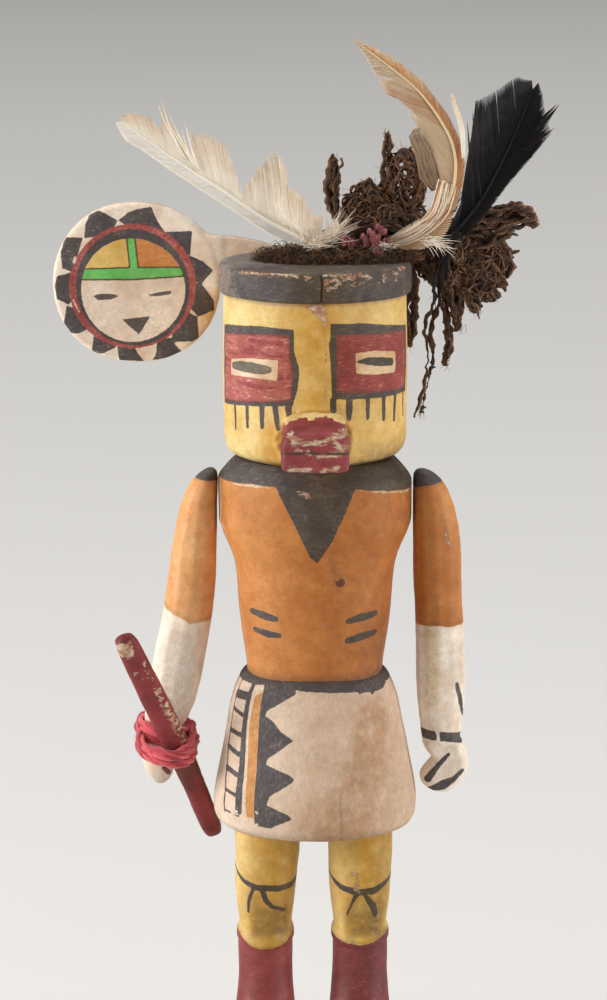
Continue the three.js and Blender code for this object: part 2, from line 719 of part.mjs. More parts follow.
add("figure", figure(), 0xc98a45);
add("snout", snout(), 0x8f3a3c);
add("right_arm", rightArm(), 0xd6b28c);
add("left_arm", arm(1, LEFT_ARM).add(leftHand()), 0xd6b28c);
add("sun_tablet", tablet(), 0xdcc3a2);
add("staff", staff(), 0x84393a);
add("staff_lashing", lashing(), 0xa8323c, 0.95);
add("white_feather", feather(WHITE_FEATHER), 0xe4d6c0);
add("tan_feather", feather(TAN_FEATHER), 0xcfa678);
add("black_feather", feather(BLACK_FEATHER), 0x232126);
add("feather_tie", featherTie(), 0x8e2a3a, 0.95);
add("crown_down", crownDown(), 0x3f2716, 0.95);
add("fibre_tassel", tassel(), 0x4a2f1a, 0.9);
add("base", base(), 0xb9925f);

export default doll;
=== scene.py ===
"""Looks for a kachina doll: painted cottonwood figure, staff, sun tablet, feathers, fibre, yarn and base.

Lengths in this file are millimetres until mesh() and bpy objects, which are in metres. Angles are degrees.
"""

import math

import bpy
import numpy as np
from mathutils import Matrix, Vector


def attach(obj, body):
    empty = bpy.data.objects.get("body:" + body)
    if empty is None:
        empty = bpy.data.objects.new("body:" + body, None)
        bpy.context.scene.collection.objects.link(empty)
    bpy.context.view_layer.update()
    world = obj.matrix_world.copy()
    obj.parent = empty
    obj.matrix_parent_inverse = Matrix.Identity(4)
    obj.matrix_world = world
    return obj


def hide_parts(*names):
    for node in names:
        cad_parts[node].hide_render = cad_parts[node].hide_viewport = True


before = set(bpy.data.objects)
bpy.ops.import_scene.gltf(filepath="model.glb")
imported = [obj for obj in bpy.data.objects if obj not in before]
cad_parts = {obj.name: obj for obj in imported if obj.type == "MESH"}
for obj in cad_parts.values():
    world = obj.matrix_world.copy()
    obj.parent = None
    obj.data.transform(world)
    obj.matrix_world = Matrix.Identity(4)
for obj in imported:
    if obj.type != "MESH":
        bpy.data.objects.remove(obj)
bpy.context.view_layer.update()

MM = 0.001
DETAIL = 1.0

FRONT = np.array([0, -1, 0.0])  # the figure faces this way

# Heights on the figure.
BASE_TOP = 12
HEM = 83.4
WAIST = 134.2
SHOULDER = 203.2
BRIM = 256.6
TOP = 266


# ---- Numbers -------------------------------------------------------------------------------------

def unit(v):
    return v / np.maximum(np.linalg.norm(v, axis=-1, keepdims=True), 1e-12)


def noise(p, size, seed=0):
    """Smooth noise from -1 to 1 at points in mm, in bumps of about that size."""
    q = np.asarray(p, float) / size + 31.7 * seed
    cell = np.floor(q).astype(np.int64)
    f = q - cell
    f = f * f * f * (f * (f * 6 - 15) + 10)
    total = np.zeros(q.shape[:-1])
    for corner in range(8):
        d = [(corner >> k) & 1 for k in range(3)]
        h = (cell[..., 0] + d[0]) * 374761393 + (cell[..., 1] + d[1]) * 668265263
        h = h + (cell[..., 2] + d[2]) * 1442695041 + seed * 97531
        h = ((h & 0xFFFFFFFF) ^ ((h & 0xFFFFFFFF) >> 13)) * 1274126177 & 0xFFFFFFFF
        h = (h ^ (h >> 16)) & 0xFFFF
        weight = np.ones(q.shape[:-1])
        for k in range(3):
            weight = weight * (f[..., k] if d[k] else 1 - f[..., k])
        total = total + weight * (h / 32767.5 - 1)
    return total


def ease(lo, hi, v):
    t = np.clip((np.asarray(v, float) - lo) / (hi - lo), 0, 1)
    return t * t * (3 - 2 * t)


def hermite(x, y, at, monotone):
    """A smooth curve through (x, y), y with one or more columns. A monotone one never overshoots."""
    x = np.asarray(x, float)
    y = np.asarray(y, float)
    h = np.diff(x)[:, None]
    slope = np.diff(y, axis=0) / h
    m = np.zeros_like(y)
    m[0] = slope[0]
    m[-1] = slope[-1]
    m[1:-1] = (slope[:-1] * h[1:] + slope[1:] * h[:-1]) / (h[1:] + h[:-1])
    if monotone:
        same = slope[:-1] * slope[1:] > 0
        flatter = 2 * slope[:-1] * slope[1:] / np.where(same, slope[:-1] + slope[1:], 1)
        m[1:-1] = np.where(same, flatter, 0)
    i = np.clip(np.searchsorted(x, at, side="right") - 1, 0, len(x) - 2)
    t = ((at - x[i]) / h[i, 0])[:, None]
    a = (1 + 2 * t) * (1 - t) ** 2 * y[i] + t * (1 - t) ** 2 * h[i] * m[i]
    return a + t * t * (3 - 2 * t) * y[i + 1] + t * t * (t - 1) * h[i] * m[i + 1]


def path(points, count):
    """Evenly spaced points and unit tangents on a smooth path through the given points."""
    p = np.array(points, float)
    knots = np.concatenate([[0], np.cumsum(np.linalg.norm(np.diff(p, axis=0), axis=1) ** 0.5)])
    fine = hermite(knots, p, np.linspace(0, knots[-1], 24 * len(p)), False)
    length = np.concatenate([[0], np.cumsum(np.linalg.norm(np.diff(fine, axis=0), axis=1))])
    even = np.linspace(0, length[-1], count)
    q = np.stack([np.interp(even, length, fine[:, k]) for k in range(3)], axis=1)
    return q, unit(np.gradient(q, axis=0))


def in_polygon(u, v, corners):
    """How far each point is inside a polygon, or minus how far outside."""
    c = np.array(corners, float)
    best = np.full(u.shape, 1e9)
    inside = np.zeros(u.shape, bool)
    for (ax, ay), (bx, by) in zip(c, np.roll(c, -1, axis=0)):
        ex, ey = bx - ax, by - ay
        t = np.clip(((u - ax) * ex + (v - ay) * ey) / (ex * ex + ey * ey), 0, 1)
        best = np.minimum(best, np.hypot(u - ax - t * ex, v - ay - t * ey))
        if by != ay:
            inside ^= ((ay > v) != (by > v)) & (u < ex * (v - ay) / (by - ay) + ax)
    return np.where(inside, best, -best)


def in_stroke(u, v, points, half):
    """The same for a brush stroke along points, with a half width at each."""
    half = np.broadcast_to(np.asarray(half, float), (len(points),))
    best = np.full(u.shape, -1e9)
    for i in range(len(points) - 1):
        (ax, ay), (bx, by) = points[i], points[i + 1]
        ex, ey = bx - ax, by - ay
        t = np.clip(((u - ax) * ex + (v - ay) * ey) / (ex * ex + ey * ey), 0, 1)
        width = half[i] + t * (half[i + 1] - half[i])
        best = np.maximum(best, width - np.hypot(u - ax - t * ex, v - ay - t * ey))
    return best


def any_of(*masks):
    return np.maximum.reduce([np.asarray(m, float) for m in masks])


ABSENT = -5.0  # a mask's value where its mark is ruled out


def only(where, mask, absent=ABSENT):
    """A mask that counts only where a condition holds."""
    return np.where(where, mask, absent)


def polygons(u, v, outlines):
    return any_of(*[in_polygon(u, v, corners) for corners in outlines])


def strokes(u, v, brushed):
    """The strokes in a list of (points, half width)."""
    return any_of(*[in_stroke(u, v, points, half) for points, half in brushed])


def bump(v, centre, width):
    return np.exp(-((v - centre) / width) ** 2)


def signed_power(v, power):
    return np.sign(v) * np.abs(v) ** power


# ---- Meshes --------------------------------------------------------------------------------------

def mesh(name, points, faces, marks=None):
    """A mesh object from points in mm, a list of arrays of faces, and marks: numbers for each point."""
    data = bpy.data.meshes.new(name)
    data.vertices.add(len(points))
    data.vertices.foreach_set("co", (np.asarray(points, float) * MM).ravel())
    sizes = np.concatenate([np.full(len(f), f.shape[1]) for f in faces])
    index = np.concatenate([np.asarray(f).ravel() for f in faces])
    data.loops.add(len(index))
    data.loops.foreach_set("vertex_index", index.astype(np.int32))
    data.polygons.add(len(sizes))
    data.polygons.foreach_set("loop_start", np.concatenate([[0], np.cumsum(sizes)[:-1]]).astype(np.int32))
    data.polygons.foreach_set("use_smooth", np.ones(len(sizes), bool))
    data.update(calc_edges=True)
    data.validate()
    piece = bpy.data.objects.new(name, data)
    bpy.context.scene.collection.objects.link(piece)
    mark_all(piece, marks or {})
    return piece


def mark_all(piece, marks):
    for key, values in marks.items():
        layer = piece.data.attributes.new(key, "FLOAT", "POINT")
        clipped = np.clip(np.asarray(values, float).ravel(), -20, 20)
        layer.data.foreach_set("value", clipped.astype(np.float32))


def tube_faces(rings, sides, count=1):
    """Quads and end caps of count tubes, each of rings of sides points."""
    r, s = np.meshgrid(np.arange(rings - 1), np.arange(sides), indexing="ij")
    nxt = (s + 1) % sides
    quad = np.stack([r * sides + s, r * sides + nxt, (r + 1) * sides + nxt, (r + 1) * sides + s], axis=-1)
    quad = quad.reshape(-1, 4)
    start = (np.arange(count) * rings * sides)[:, None, None]
    quads = (quad[None] + start).reshape(-1, 4)
    first = np.arange(sides)[::-1][None] + start[:, 0]
    last = (rings - 1) * sides + np.arange(sides)[None] + start[:, 0]
    return [quads, np.concatenate([first, last])]


def loft(rows, step):
    """A closed round body through rows of (z, x, y, rx, ry, square, tilt), the last two optional. Returns
    its points as a grid of rings, finer at the front and coarser on the ends, and each column's angle from
    the front in degrees, more towards +X."""
    rows = np.array([[*row, *(0, 0, 0, 0, 2, 0)[len(row) - 1:]] for row in rows], float)
    rows = np.vstack([rows[0], rows, rows[-1]])
    rows[[0, -1], 3:5] = 0.01
    gaps = np.hypot(np.diff(rows[:, 0]), np.diff(rows[:, 3])) + 1e-3
    gaps[[0, -1]] *= 0.3
    along = np.concatenate([[0], np.cumsum(gaps)])
    count = int(along[-1] / step) + 2
    t = np.linspace(0, along[-1], count)
    g = hermite(along, rows, t, True)
    widest = g[:, 3:5].max()
    sides = int(2 * math.pi * widest / step)
    a = np.linspace(-math.pi, math.pi, sides, endpoint=False)
    a = a - 0.3 * np.sin(a)
    power = 2 / g[:, 5][:, None]
    u = signed_power(np.sin(a), power)
    v = -signed_power(np.cos(a), power)
    p = np.stack([
        g[:, 1][:, None] + g[:, 3][:, None] * u,
        g[:, 2][:, None] + g[:, 4][:, None] * v,
        g[:, 0][:, None] + g[:, 6][:, None] * v + 0 * u,
    ], axis=-1)
    return p, np.degrees(a)


def grid_normals(p):
    around = np.roll(p, -1, axis=1) - np.roll(p, 1, axis=1)
    up = np.gradient(p, axis=0)
    n = np.cross(around, up)
    n = unit(n)
    n[0] = (0, 0, -1) if p[-1, 0, 2] > p[0, 0, 2] else (0, 0, 1)
    n[-1] = -n[0]
    return n


def carved_grid(name, p, push, marks, material, slot, *nodes):
    """A wooden piece from a grid of rings: pushed along its normals by push(points), and painted."""
    p = p + grid_normals(p) * push(p)[..., None]
    rings, sides = p.shape[:2]
    piece = mesh(name, p.reshape(-1, 3), tube_faces(rings, sides), marks)
    return dress(piece, material, slot, *nodes)


def dress(piece, material, slot, *nodes):
    piece.data.materials.clear()
    piece.data.materials.append(material)
    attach(piece, "root")
    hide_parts(*nodes)
    return piece


def remeshed(name, node, voxel, smoothings):
    """A dense copy of a CAD node with its edges softened, for carving into."""
    piece = bpy.data.objects.new(name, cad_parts[node].data.copy())
    bpy.context.scene.collection.objects.link(piece)
    fine = piece.modifiers.new("remesh", "REMESH")
    fine.mode = "VOXEL"
    fine.voxel_size = voxel * DETAIL * MM
    soft = piece.modifiers.new("soft", "SMOOTH")
    soft.factor = 0.5
    soft.iterations = smoothings
    solid = bpy.data.meshes.new_from_object(piece.evaluated_get(bpy.context.evaluated_depsgraph_get()))
    old = piece.data
    piece.modifiers.clear()
    piece.data = solid
    bpy.data.meshes.remove(old)
    solid.name = name
    solid.polygons.foreach_set("use_smooth", np.ones(len(solid.polygons), bool))
    return piece


def points_of(piece):
    co = np.zeros(len(piece.data.vertices) * 3, np.float32)
    piece.data.vertices.foreach_get("co", co)
    return co.reshape(-1, 3).astype(float) / MM


def push_out(piece, distance):
    """Moves each point along its normal, by a distance in mm."""
    normals = np.zeros(len(piece.data.vertices) * 3, np.float32)
    piece.data.vertices.foreach_get("normal", normals)
    p = points_of(piece) + normals.reshape(-1, 3) * np.asarray(distance)[:, None]
    piece.data.vertices.foreach_set("co", (p * MM).ravel())
    piece.data.update()


FLAT_STRIP = [(-1, 0), (0, 1), (1, 0), (0, -1)]
WHISKER = [(1, 0), (-0.5, 0.87), (-0.5, -0.87)]


def around_circle(count):
    return [(math.cos(t), math.sin(t)) for t in np.linspace(0, 2 * math.pi, count, endpoint=False)]


def strips(name, centre, side, up, half, thick, section, marks, material, slot, *nodes):
    """Many thin closed strips at once. centre is (strips, stations, 3) and side and up grow to that, half
    and thick grow to (strips, stations), and section is a closed outline of (across, upwards)."""
    section = np.array(section, float)
    count, stations = centre.shape[:2]
    side, up = (np.broadcast_to(v, centre.shape) for v in (side, up))
    half, thick = (np.broadcast_to(v, (count, stations)) for v in (half, thick))
    p = (centre[:, :, None]
         + side[:, :, None] * (half[..., None] * section[:, 0])[..., None]
         + up[:, :, None] * (thick[..., None] * section[:, 1])[..., None])
    piece = mesh(name, p.reshape(-1, 3), tube_faces(stations, len(section), count))
    full = (count, stations, len(section))
    mark_all(piece, {key: np.broadcast_to(values, full) for key, values in marks.items()})
    return dress(piece, material, slot, *nodes)


# ---- Materials -----------------------------------------------------------------------------------

def rgb(r, g, b):
    """Linear colour from the familiar 0 to 255 scale."""
    return tuple(c / 12.92 if c <= 0.04045 else ((c + 0.055) / 1.055) ** 2.4
                 for c in (r / 255, g / 255, b / 255)) + (1.0,)


class Graph:
    """A material's nodes, written as calls."""

    def __init__(self, name):
        self.material = bpy.data.materials.new(name)
        self.material.use_nodes = True
        self.tree = self.material.node_tree
        self.tree.nodes.clear()
        self.place = self.add("ShaderNodeTexCoord").outputs["Object"]

    def add(self, kind, settings=None, **inputs):
        node = self.tree.nodes.new(kind)
        for key, value in (settings or {}).items():
            setattr(node, key, value)
        for key, value in inputs.items():
            self.feed(node.inputs[int(key[1:]) if key[1:].isdigit() else key], value)
        return node

    def feed(self, socket, value):
        if isinstance(value, bpy.types.NodeSocket):
            self.tree.links.new(value, socket)
        elif value is not None:
            socket.default_value = value

    def math(self, operation, a, b=0.0, c=0.0):
        return self.add("ShaderNodeMath", {"operation": operation}, _0=a, _1=b, _2=c).outputs[0]

    def plus(self, a, b):
        return self.math("ADD", a, b)

    def minus(self, a, b):
        return self.math("SUBTRACT", a, b)

    def times(self, a, b):
        return self.math("MULTIPLY", a, b)

    def step(self, value, lo, hi, out_lo=0.0, out_hi=1.0):
        settings = {"interpolation_type": "SMOOTHSTEP", "clamp": True}
        node = self.add("ShaderNodeMapRange", settings, _0=value, _1=lo, _2=hi, _3=out_lo, _4=out_hi)
        return node.outputs[0]

    def mix(self, share, a, b, blend="MIX"):
        node = self.add("ShaderNodeMix", {"data_type": "RGBA", "blend_type": blend})
        self.feed(node.inputs[0], share)
        self.feed(node.inputs[6], a)
        self.feed(node.inputs[7], b)
        return node.outputs[2]

    def mark(self, name):
        return self.add("ShaderNodeAttribute", {"attribute_name": name}).outputs["Fac"]

    def noise(self, size, detail=3.0, rough=0.55, stretch=(1, 1, 1)):
        """Noise from 0 to 1 with bumps of about that size in mm, longer where stretch is more."""
        scaled = self.add("ShaderNodeMapping", None, Vector=self.place)
        scaled.inputs["Scale"].default_value = [1 / (size * MM * s) for s in stretch]
        return self.noise_at(scaled.outputs[0], 1.0, detail, rough)

    def noise_at(self, place, scale, detail, rough):
        node = self.add("ShaderNodeTexNoise", None, Vector=place, Scale=scale,
                        Detail=detail, Roughness=rough)
        return node.outputs["Fac"]

    def finish(self, colour, roughness, height=None, strength=1.0, **more):
        shader = self.add("ShaderNodeBsdfPrincipled", None, Roughness=roughness)
        self.feed(shader.inputs["Base Color"], colour)
        for key, value in more.items():
            self.feed(shader.inputs[key.replace("_", " ")], value)
        if height is not None:
            bump = self.add("ShaderNodeBump", None, Strength=strength, Distance=MM, Height=height)
            self.feed(shader.inputs["Normal"], bump.outputs[0])
        out = self.add("ShaderNodeOutputMaterial")
        self.tree.links.new(shader.outputs[0], out.inputs["Surface"])
        return self.material


PRIMER = rgb(226, 208, 186)
BLACK = (rgb(72, 66, 68), rgb(96, 88, 86))
WOOD = (rgb(206, 180, 152), rgb(168, 116, 88))
# What the coats are multiplied by or mixed with: stain, dust, and the colour for dirt and painted shade.
STAIN = rgb(214, 184, 150)
DUST = rgb(92, 62, 42)
DIRT_AND_SHADE = rgb(70, 48, 34)


def painted(name, ground, layers, brush=(1, 1, 6), wobble=0.35, chips=None, chip_grain=(1.6, 1.6, 0.8),
            grime_and_shade=None, tint=None, rough=0.72, stain=0.5):
    """Matt earth paint over primer. ground is two colours that the coat wanders between. A layer is
    (mark, colour, other colour, wear), laid over what is there wherever the mark is above zero. Chips show
    the wood, the grime mark darkens for dirt and for painted shade, and tint is a mark and the colour that
    it multiplies by, which on some pieces is painted shade."""
    g = Graph(name)
    streak = g.noise(0.6, 4, 0.65, brush)
    patch = g.noise(7, 4, 0.6)
    broad = g.noise(22, 3, 0.5)
    shiver = g.minus(g.noise(1.6, 4, 0.6), 0.5)
    fleck = g.noise(0.9, 5, 0.7)
    dust = g.noise(0.45, 3, 0.75)
    tone = g.step(g.plus(g.times(patch, 0.55), g.times(broad, 0.45)), 0.36, 0.64)
    colour = g.mix(tone, ground[0], ground[1])
    height = g.times(streak, 0.1)
    roughness = g.step(fleck, 0.3, 0.7, rough - 0.07, rough + 0.07)
    for key, first, second, worn in layers:
        edge = g.plus(g.mark(key), g.times(shiver, 2 * wobble))
        cover = g.step(edge, -0.13, 0.13)
        bare = g.step(fleck, 0.68 - 0.05 * worn, 0.74 - 0.03 * worn, 0, min(1.0, worn))
        cover = g.times(cover, g.minus(1.0, bare))
        mottle = g.plus(g.times(streak, 0.5), g.times(patch, 0.5))
        coat = g.mix(g.step(mottle, 0.38, 0.64), first, second)
        thin = g.times(g.step(streak, 0.56, 0.74), g.step(patch, 0.38, 0.62, 0.25 * worn, 0.95 * worn))
        coat = g.mix(thin, coat, PRIMER)
        colour = g.mix(cover, colour, coat)
        height = g.math("MULTIPLY_ADD", cover, 0.035, height)
    # The tint mark multiplies the colour: browner paint, and on the mask, torso, kilt and legs also painted
    # shade on the side away from the key lamp.
    if tint:
        share = g.times(g.mark(tint[0]), g.step(g.noise(4, 4, 0.6), 0.3, 0.6, 0.7, 1.0))
        colour = g.mix(share, colour, tint[1], "MULTIPLY")
    wash = g.plus(g.times(g.noise(11, 5, 0.6), 0.6), g.times(streak, 0.4))
    colour = g.mix(g.step(wash, 0.47, 0.62, 0, stain), colour, STAIN, "MULTIPLY")
    if chips:
        fine = g.minus(g.noise(0.8, 5, 0.8, chip_grain), 0.5)
        gone = g.step(g.math("MULTIPLY_ADD", fine, 6.0, g.mark(chips)), 0.0, 0.25)
        wood = g.mix(g.step(g.noise(2.2, 3, 0.6), 0.4, 0.62), *WOOD)
        colour = g.mix(gone, colour, wood)
        height = g.math("MULTIPLY_ADD", gone, -0.14, height)
    colour = g.mix(g.step(dust, 0.63, 0.73, 0, 0.5), colour, DUST)
    pale = g.times(g.step(fleck, 0.64, 0.7), g.step(patch, 0.5, 0.68, 0.05, 0.4))
    colour = g.mix(pale, colour, PRIMER)
    shade = g.times(g.step(streak, 0.32, 0.7, 0.88, 1.07), g.step(g.noise(3, 4, 0.65), 0.3, 0.7, 0.91, 1.05))
    grey = g.add("ShaderNodeCombineColor", None, _0=shade, _1=shade, _2=shade)
    colour = g.mix(1.0, colour, grey.outputs[0], "MULTIPLY")
    # This mark darkens towards one colour: dirt, and on most pieces also painted shade in creases, under
    # overhangs and between parts.
    if grime_and_shade:
        dirt_and_shade = g.times(g.mark(grime_and_shade), g.step(g.noise(2.5, 4, 0.6), 0.3, 0.6, 0.5, 1.0))
        colour = g.mix(dirt_and_shade, colour, DIRT_AND_SHADE)
    return g.finish(colour, roughness, height, 0.8)


# ---- Figure: head --------------------------------------------------------------------------------

YELLOW = (rgb(226, 191, 112), rgb(238, 212, 150))
OCHRE = rgb(230, 202, 132)  # multiplies the yellow where it is browner, and on the side away from the key lamp as painted shade
RED = (rgb(140, 56, 58), rgb(168, 80, 78))
CREAM = (rgb(222, 194, 162), rgb(234, 212, 184))
ORANGE = (rgb(196, 124, 56), rgb(216, 148, 82))


def dents(p, deep=0.16):
    """The slight unevenness of a whittled and sanded surface."""
    return deep * noise(p, 13, 1) + 0.35 * deep * noise(p, 4.5, 2) + 0.1 * deep * noise(p, 1.6, 3)


# Painted features of the mask are at (angle from the front in radians times this, height).
HEAD_UNIT = 29.3
EYE_FRAMES = [
    [(-40.5, 246.6), (-36, 247.4), (-18.5, 248.8), (-6.8, 248.4), (-6.6, 241.2), (-5.1, 236.5),
     (-5.1, 232.7), (-5.9, 228.4), (-7.1, 224.4), (-16.9, 223.5), (-35.6, 221.8), (-40.5, 221.6)],
    [(4.7, 250.3), (16.4, 249.9), (36.7, 247), (40.5, 246.6), (40.5, 225.3), (36.9, 225.5), (26.1, 225.6),
     (16.4, 225.8), (5.2, 226.5), (5, 234.2), (4.3, 243.7), (4.8, 246.5)],
]
EYE_PANELS = [
    [(-38.9, 244.3), (-18.5, 246.4), (-8.3, 246.6), (-8, 240.7), (-7.1, 236), (-7.3, 229.3), (-7.5, 225.9),
     (-18.6, 224.6), (-38.9, 222.8)],
    [(6.7, 246.9), (22.4, 246.2), (38.9, 245.2), (38.9, 227), (28.5, 227.2), (19.3, 227.5), (6.7, 228.6)],
]
EYE_SLOTS = [
    [(-33, 236.8), (-21.6, 238.3), (-12, 238.5), (-12.2, 232), (-21.6, 232.1), (-33, 231.8)],
    [(13, 240.6), (19.9, 240.9), (30, 239.6), (30.4, 238.4), (30.4, 233.6), (29.4, 232.8), (19.9, 233.3),
     (13.3, 234.2)],
]
PUPILS = [
    ([(-31.3, 234.9), (-27.5, 235.2), (-22, 235.2), (-17.5, 235.1), (-15.2, 235.2)],
     [1.1, 1.6, 1.75, 1.5, 1.0]),
    ([(13.9, 237.9), (17.5, 237.8), (22.5, 237.2), (27.9, 236.5)], [0.4, 1.25, 1.45, 1.25]),
]
# Strokes under the eyes: place at the top, place at the foot, height of the foot, half width.
LASHES = [
    (-30.9, -30.5, 214.6, 0.5), (-24.4, -24.2, 216.2, 0.65), (-18, -18, 216.9, 0.8),
    (-13.3, -12, 216.9, 0.85), (-8.6, -8.1, 220.8, 0.9), (5.7, 5.7, 223.5, 0.85), (11, 10.9, 220.1, 0.9),
    (17.7, 17.7, 219.6, 0.65), (24.4, 24.6, 218.6, 0.75), (30.8, 30.3, 217.5, 0.65),
    (37.4, 37.5, 217.9, 0.5),
]
# Bare patches on the brim, as strokes.
BRIM_CHIPS = [
    ([(-25.5, 265.3), (-21, 265.4), (-17.5, 265.7), (-8, 265.9), (-5.5, 265.6)], 0.75),
    ([(-2.8, 265.3), (-2.2, 264.9)], 0.8),
    ([(2.6, 265.9), (8, 265.8), (12.5, 265.2)], 0.6),
    ([(3, 262.9), (3.6, 264), (6, 264.3), (7.2, 263.2), (6, 261.9), (3.6, 261.6)], 0.75),
    ([(8.5, 264.6), (12, 264.4)], 0.9),
    ([(9.5, 262.4), (14.8, 262.8)], 0.5),
    ([(14, 265.3), (16.8, 264.8), (17.4, 263.9)], 0.8),
    ([(22.6, 264.9), (23.2, 263.6), (22.8, 262.8)], 0.75),
    ([(17.6, 262.3), (21, 262.3)], 0.35),
    ([(27.8, 265), (29.4, 264), (29, 262.8)], 0.8),
    ([(31.5, 265.5), (35, 265.9)], 0.7),
    ([(-41, 263.5), (-44, 262.9)], 0.7), ([(52, 265.6), (60, 265.7)], 0.6), ([(78, 264), (80, 263)], 0.8),
]


# The flat seat sawn into the back of the brim for the tablet's neck.
SEAT = {"left": -31.5, "right": 2.2, "bottom": 256.9, "face": 25.2}


def lash(start, end, foot, half):
    """A stroke that hangs from the lower edge of an eye panel."""
    return [(start, 226), (start + 0.2 * (end - start), 223), (end, foot)], [1.25 * half, 1.25 * half, half]


def head():
    rows = [(SHOULDER + 0.2, 20.8), (204.5, 24.9), (205.6, 26.9), (207.6, 28.3), (210.6, 28.9), (218, 29.1),
            (236, 29.3), (252, 29.05), (BRIM - 0.15, 29), (BRIM, 29.1), (BRIM + 0.1, 30), (BRIM + 1.1, 30.5),
            (BRIM + 2.4, 30.6), (TOP - 1.4, 30.6), (TOP - 0.4, 30.2), (TOP, 29.2)]
    p, angle = loft([(z, 0, 0, r, r) for z, r in rows], 0.6 * DETAIL)
    around = np.broadcast_to(np.radians(angle) * HEAD_UNIT, p.shape[:2])
    z = p[..., 2]
    above = z > BRIM - 0.2
    rim = np.hypot(p[..., 0], p[..., 1])
    black = any_of(polygons(around, z, EYE_FRAMES), strokes(around, z, [lash(*row) for row in LASHES]),
                   np.minimum((z - BRIM) * 3, 2.0))
    red = polygons(around, z, EYE_PANELS)
    cream = polygons(around, z, EYE_SLOTS)
    pupil = strokes(around, z, PUPILS)
    under = strokes(around, z, [
        ([(-26, BRIM - 0.5), (-10, BRIM - 0.8), (3, BRIM - 0.6)], [0.1, 0.5, 0.3]),
        ([(20, BRIM - 0.4), (44, BRIM - 0.5)], [0.1, 0.5])])
    fade = 0.6 * noise(p * (0.3, 0.3, 2.2), 2.4, 12) + np.where(around < 0, 0.2, -0.55)
    fade = np.maximum(fade, in_stroke(around, z, [(-9.7, 245), (-9.3, 238), (-9.7, 229)], 0.6))
    faded = np.minimum(red - 0.3, fade)
    # A lighter grey on the brim's left end, the end towards the key lamp: a painted highlight.
    brim_highlight = only(above, np.clip(0.03 * (24 - np.abs(around + 54)), -0.6, 0.16) + 0.12 * noise(p, 5, 21))
    scuffed = in_stroke(around, z, [(-80, TOP - 0.7), (80, TOP - 0.7)], 0.1) + 0.55 * noise(p, 5, 8)
    chip = strokes(around, z, [(points, 0.75 * half) for points, half in BRIM_CHIPS])
    chip = only(above & (rim > 29), np.maximum(chip, scuffed - 0.8))
    scar = in_polygon(around, z, [(-2.6, 255.6), (2.2, 256.2), (3.6, 254), (3.2, 250.2), (1.4, 252.4)])
    scratch = in_stroke(around, z, [(2.9, 248), (3.6, 238), (3.2, 226)], -0.05)
    chip = np.where(above, chip, any_of(scar + 0.3, scratch))
    crack = ease(0.5, 0.1, np.abs(around - 2 - 0.3 * noise(p, 3, 5))) * ease(BRIM - 1, BRIM + 0.5, z)
    crack = crack * ease(28, 29.5, rim)
    glue = np.hypot(around / 12.3, (z - 213) / 10.2)
    bead = bump(glue, 1, 0.09) * (z < 224) * (np.abs(around) < 40)

    def push(q):
        lumps = 0.8 * bead * (1 + 0.8 * noise(q, 1.4, 6))
        return dents(q) - 0.8 * crack + lumps + 0.05 * ease(0, 0.3, black) - 0.12 * ease(0, 0.3, chip)

    x, y = p[..., 0], p[..., 1]
    seat = (z > SEAT["bottom"]) & (x < SEAT["right"]) & (x > SEAT["left"]) & (y > SEAT["face"])
    p = np.where(seat[..., None] & np.array([False, True, False]), SEAT["face"], p)
    under_brim = ease(1.6, 0, BRIM - z) * (z < BRIM)
    low = ease(207, 203.5, z) + 0.5 * ease(214, 206, z) * ease(-2, 14, around)
    cheek = bump(around, -15, 5) * ease(224, 214, z)
    under_edge = ease(1.2, 0.2, np.abs(red)) * (red > -0.2)
    marks = {
        "black": black, "red": red, "faded": faded, "cream": cream, "brim_highlight": brim_highlight,
        "grey": only(around < 0, pupil), "pupil": pupil, "bare": under, "chip": chip,
        # Browner paint at the middle of the face and on the left cheek; on the right side, away from the key
        # lamp, a painted shade.
        "ochre_and_shade": bump(around, 1, 13) + 0.45 * ease(4, 26, around) * ease(84, 50, around) + 0.8 * cheek,
        # Painted shade under the brim, round the foot of the mask, in the crack and on the brim's top inside
        # its rim; darker along the red panels' edges; dirt and painted shade low on the right of the chin.
        "grime_and_shade": 0.5 * np.maximum(under_brim, low) + 0.9 * crack
        + 0.3 * above * ease(29, 26, rim) + 0.35 * under_edge
        + 0.3 * ease(8, 24, around) * ease(80, 50, around) * ease(215, 205, z),
    }
    layers = [
        ("black", *BLACK, 0.3),
        # Painted highlight: lighter grey on the brim's left end.
        ("brim_highlight", rgb(122, 112, 109), rgb(144, 132, 127), 0.5),
        ("red", *RED, 0.55),
        ("faded", rgb(168, 80, 78), rgb(190, 112, 104), 0.9),
        ("cream", *CREAM, 0.2),
        ("pupil", rgb(60, 58, 56), rgb(84, 80, 74), 0.5),
        ("grey", rgb(98, 92, 84), rgb(122, 114, 102), 0.5),
        ("bare", rgb(216, 188, 160), rgb(224, 198, 160), 0.0),
    ]
    paint = painted("mask_paint", YELLOW, layers, brush=(4, 4, 1), chips="chip", grime_and_shade="grime_and_shade",
                    tint=("ochre_and_shade", OCHRE))
    return carved_grid("mask", p, push, marks, paint, "figure_paint", "figure")


# ---- Figure: torso -------------------------------------------------------------------------------

YOKE = [(-36, 197.2), (-29.4, 197.3), (-21, 197.9), (-12.5, 197.6), (-7, 186.8), (-1.8, 175.5), (0.6, 173),
        (5.2, 180), (9.6, 189.5), (12.6, 197), (20, 195.8), (36, 193.6), (36, 215), (-36, 215)]
BELLY_DASHES = [
    ([(-19.8, 155.9), (-15.4, 155), (-12.4, 154.4)], [1.0, 1.35, 0.9]),
    ([(-19, 150), (-15, 149.2), (-11.4, 149)], [0.85, 1.25, 0.8]),
    ([(10.4, 153.9), (14, 154.7), (18.8, 155.4)], [0.9, 1.4, 1.05]),
    ([(10.4, 147.4), (14, 148.3), (18.8, 149.1)], [1.0, 1.35, 0.95]),
]


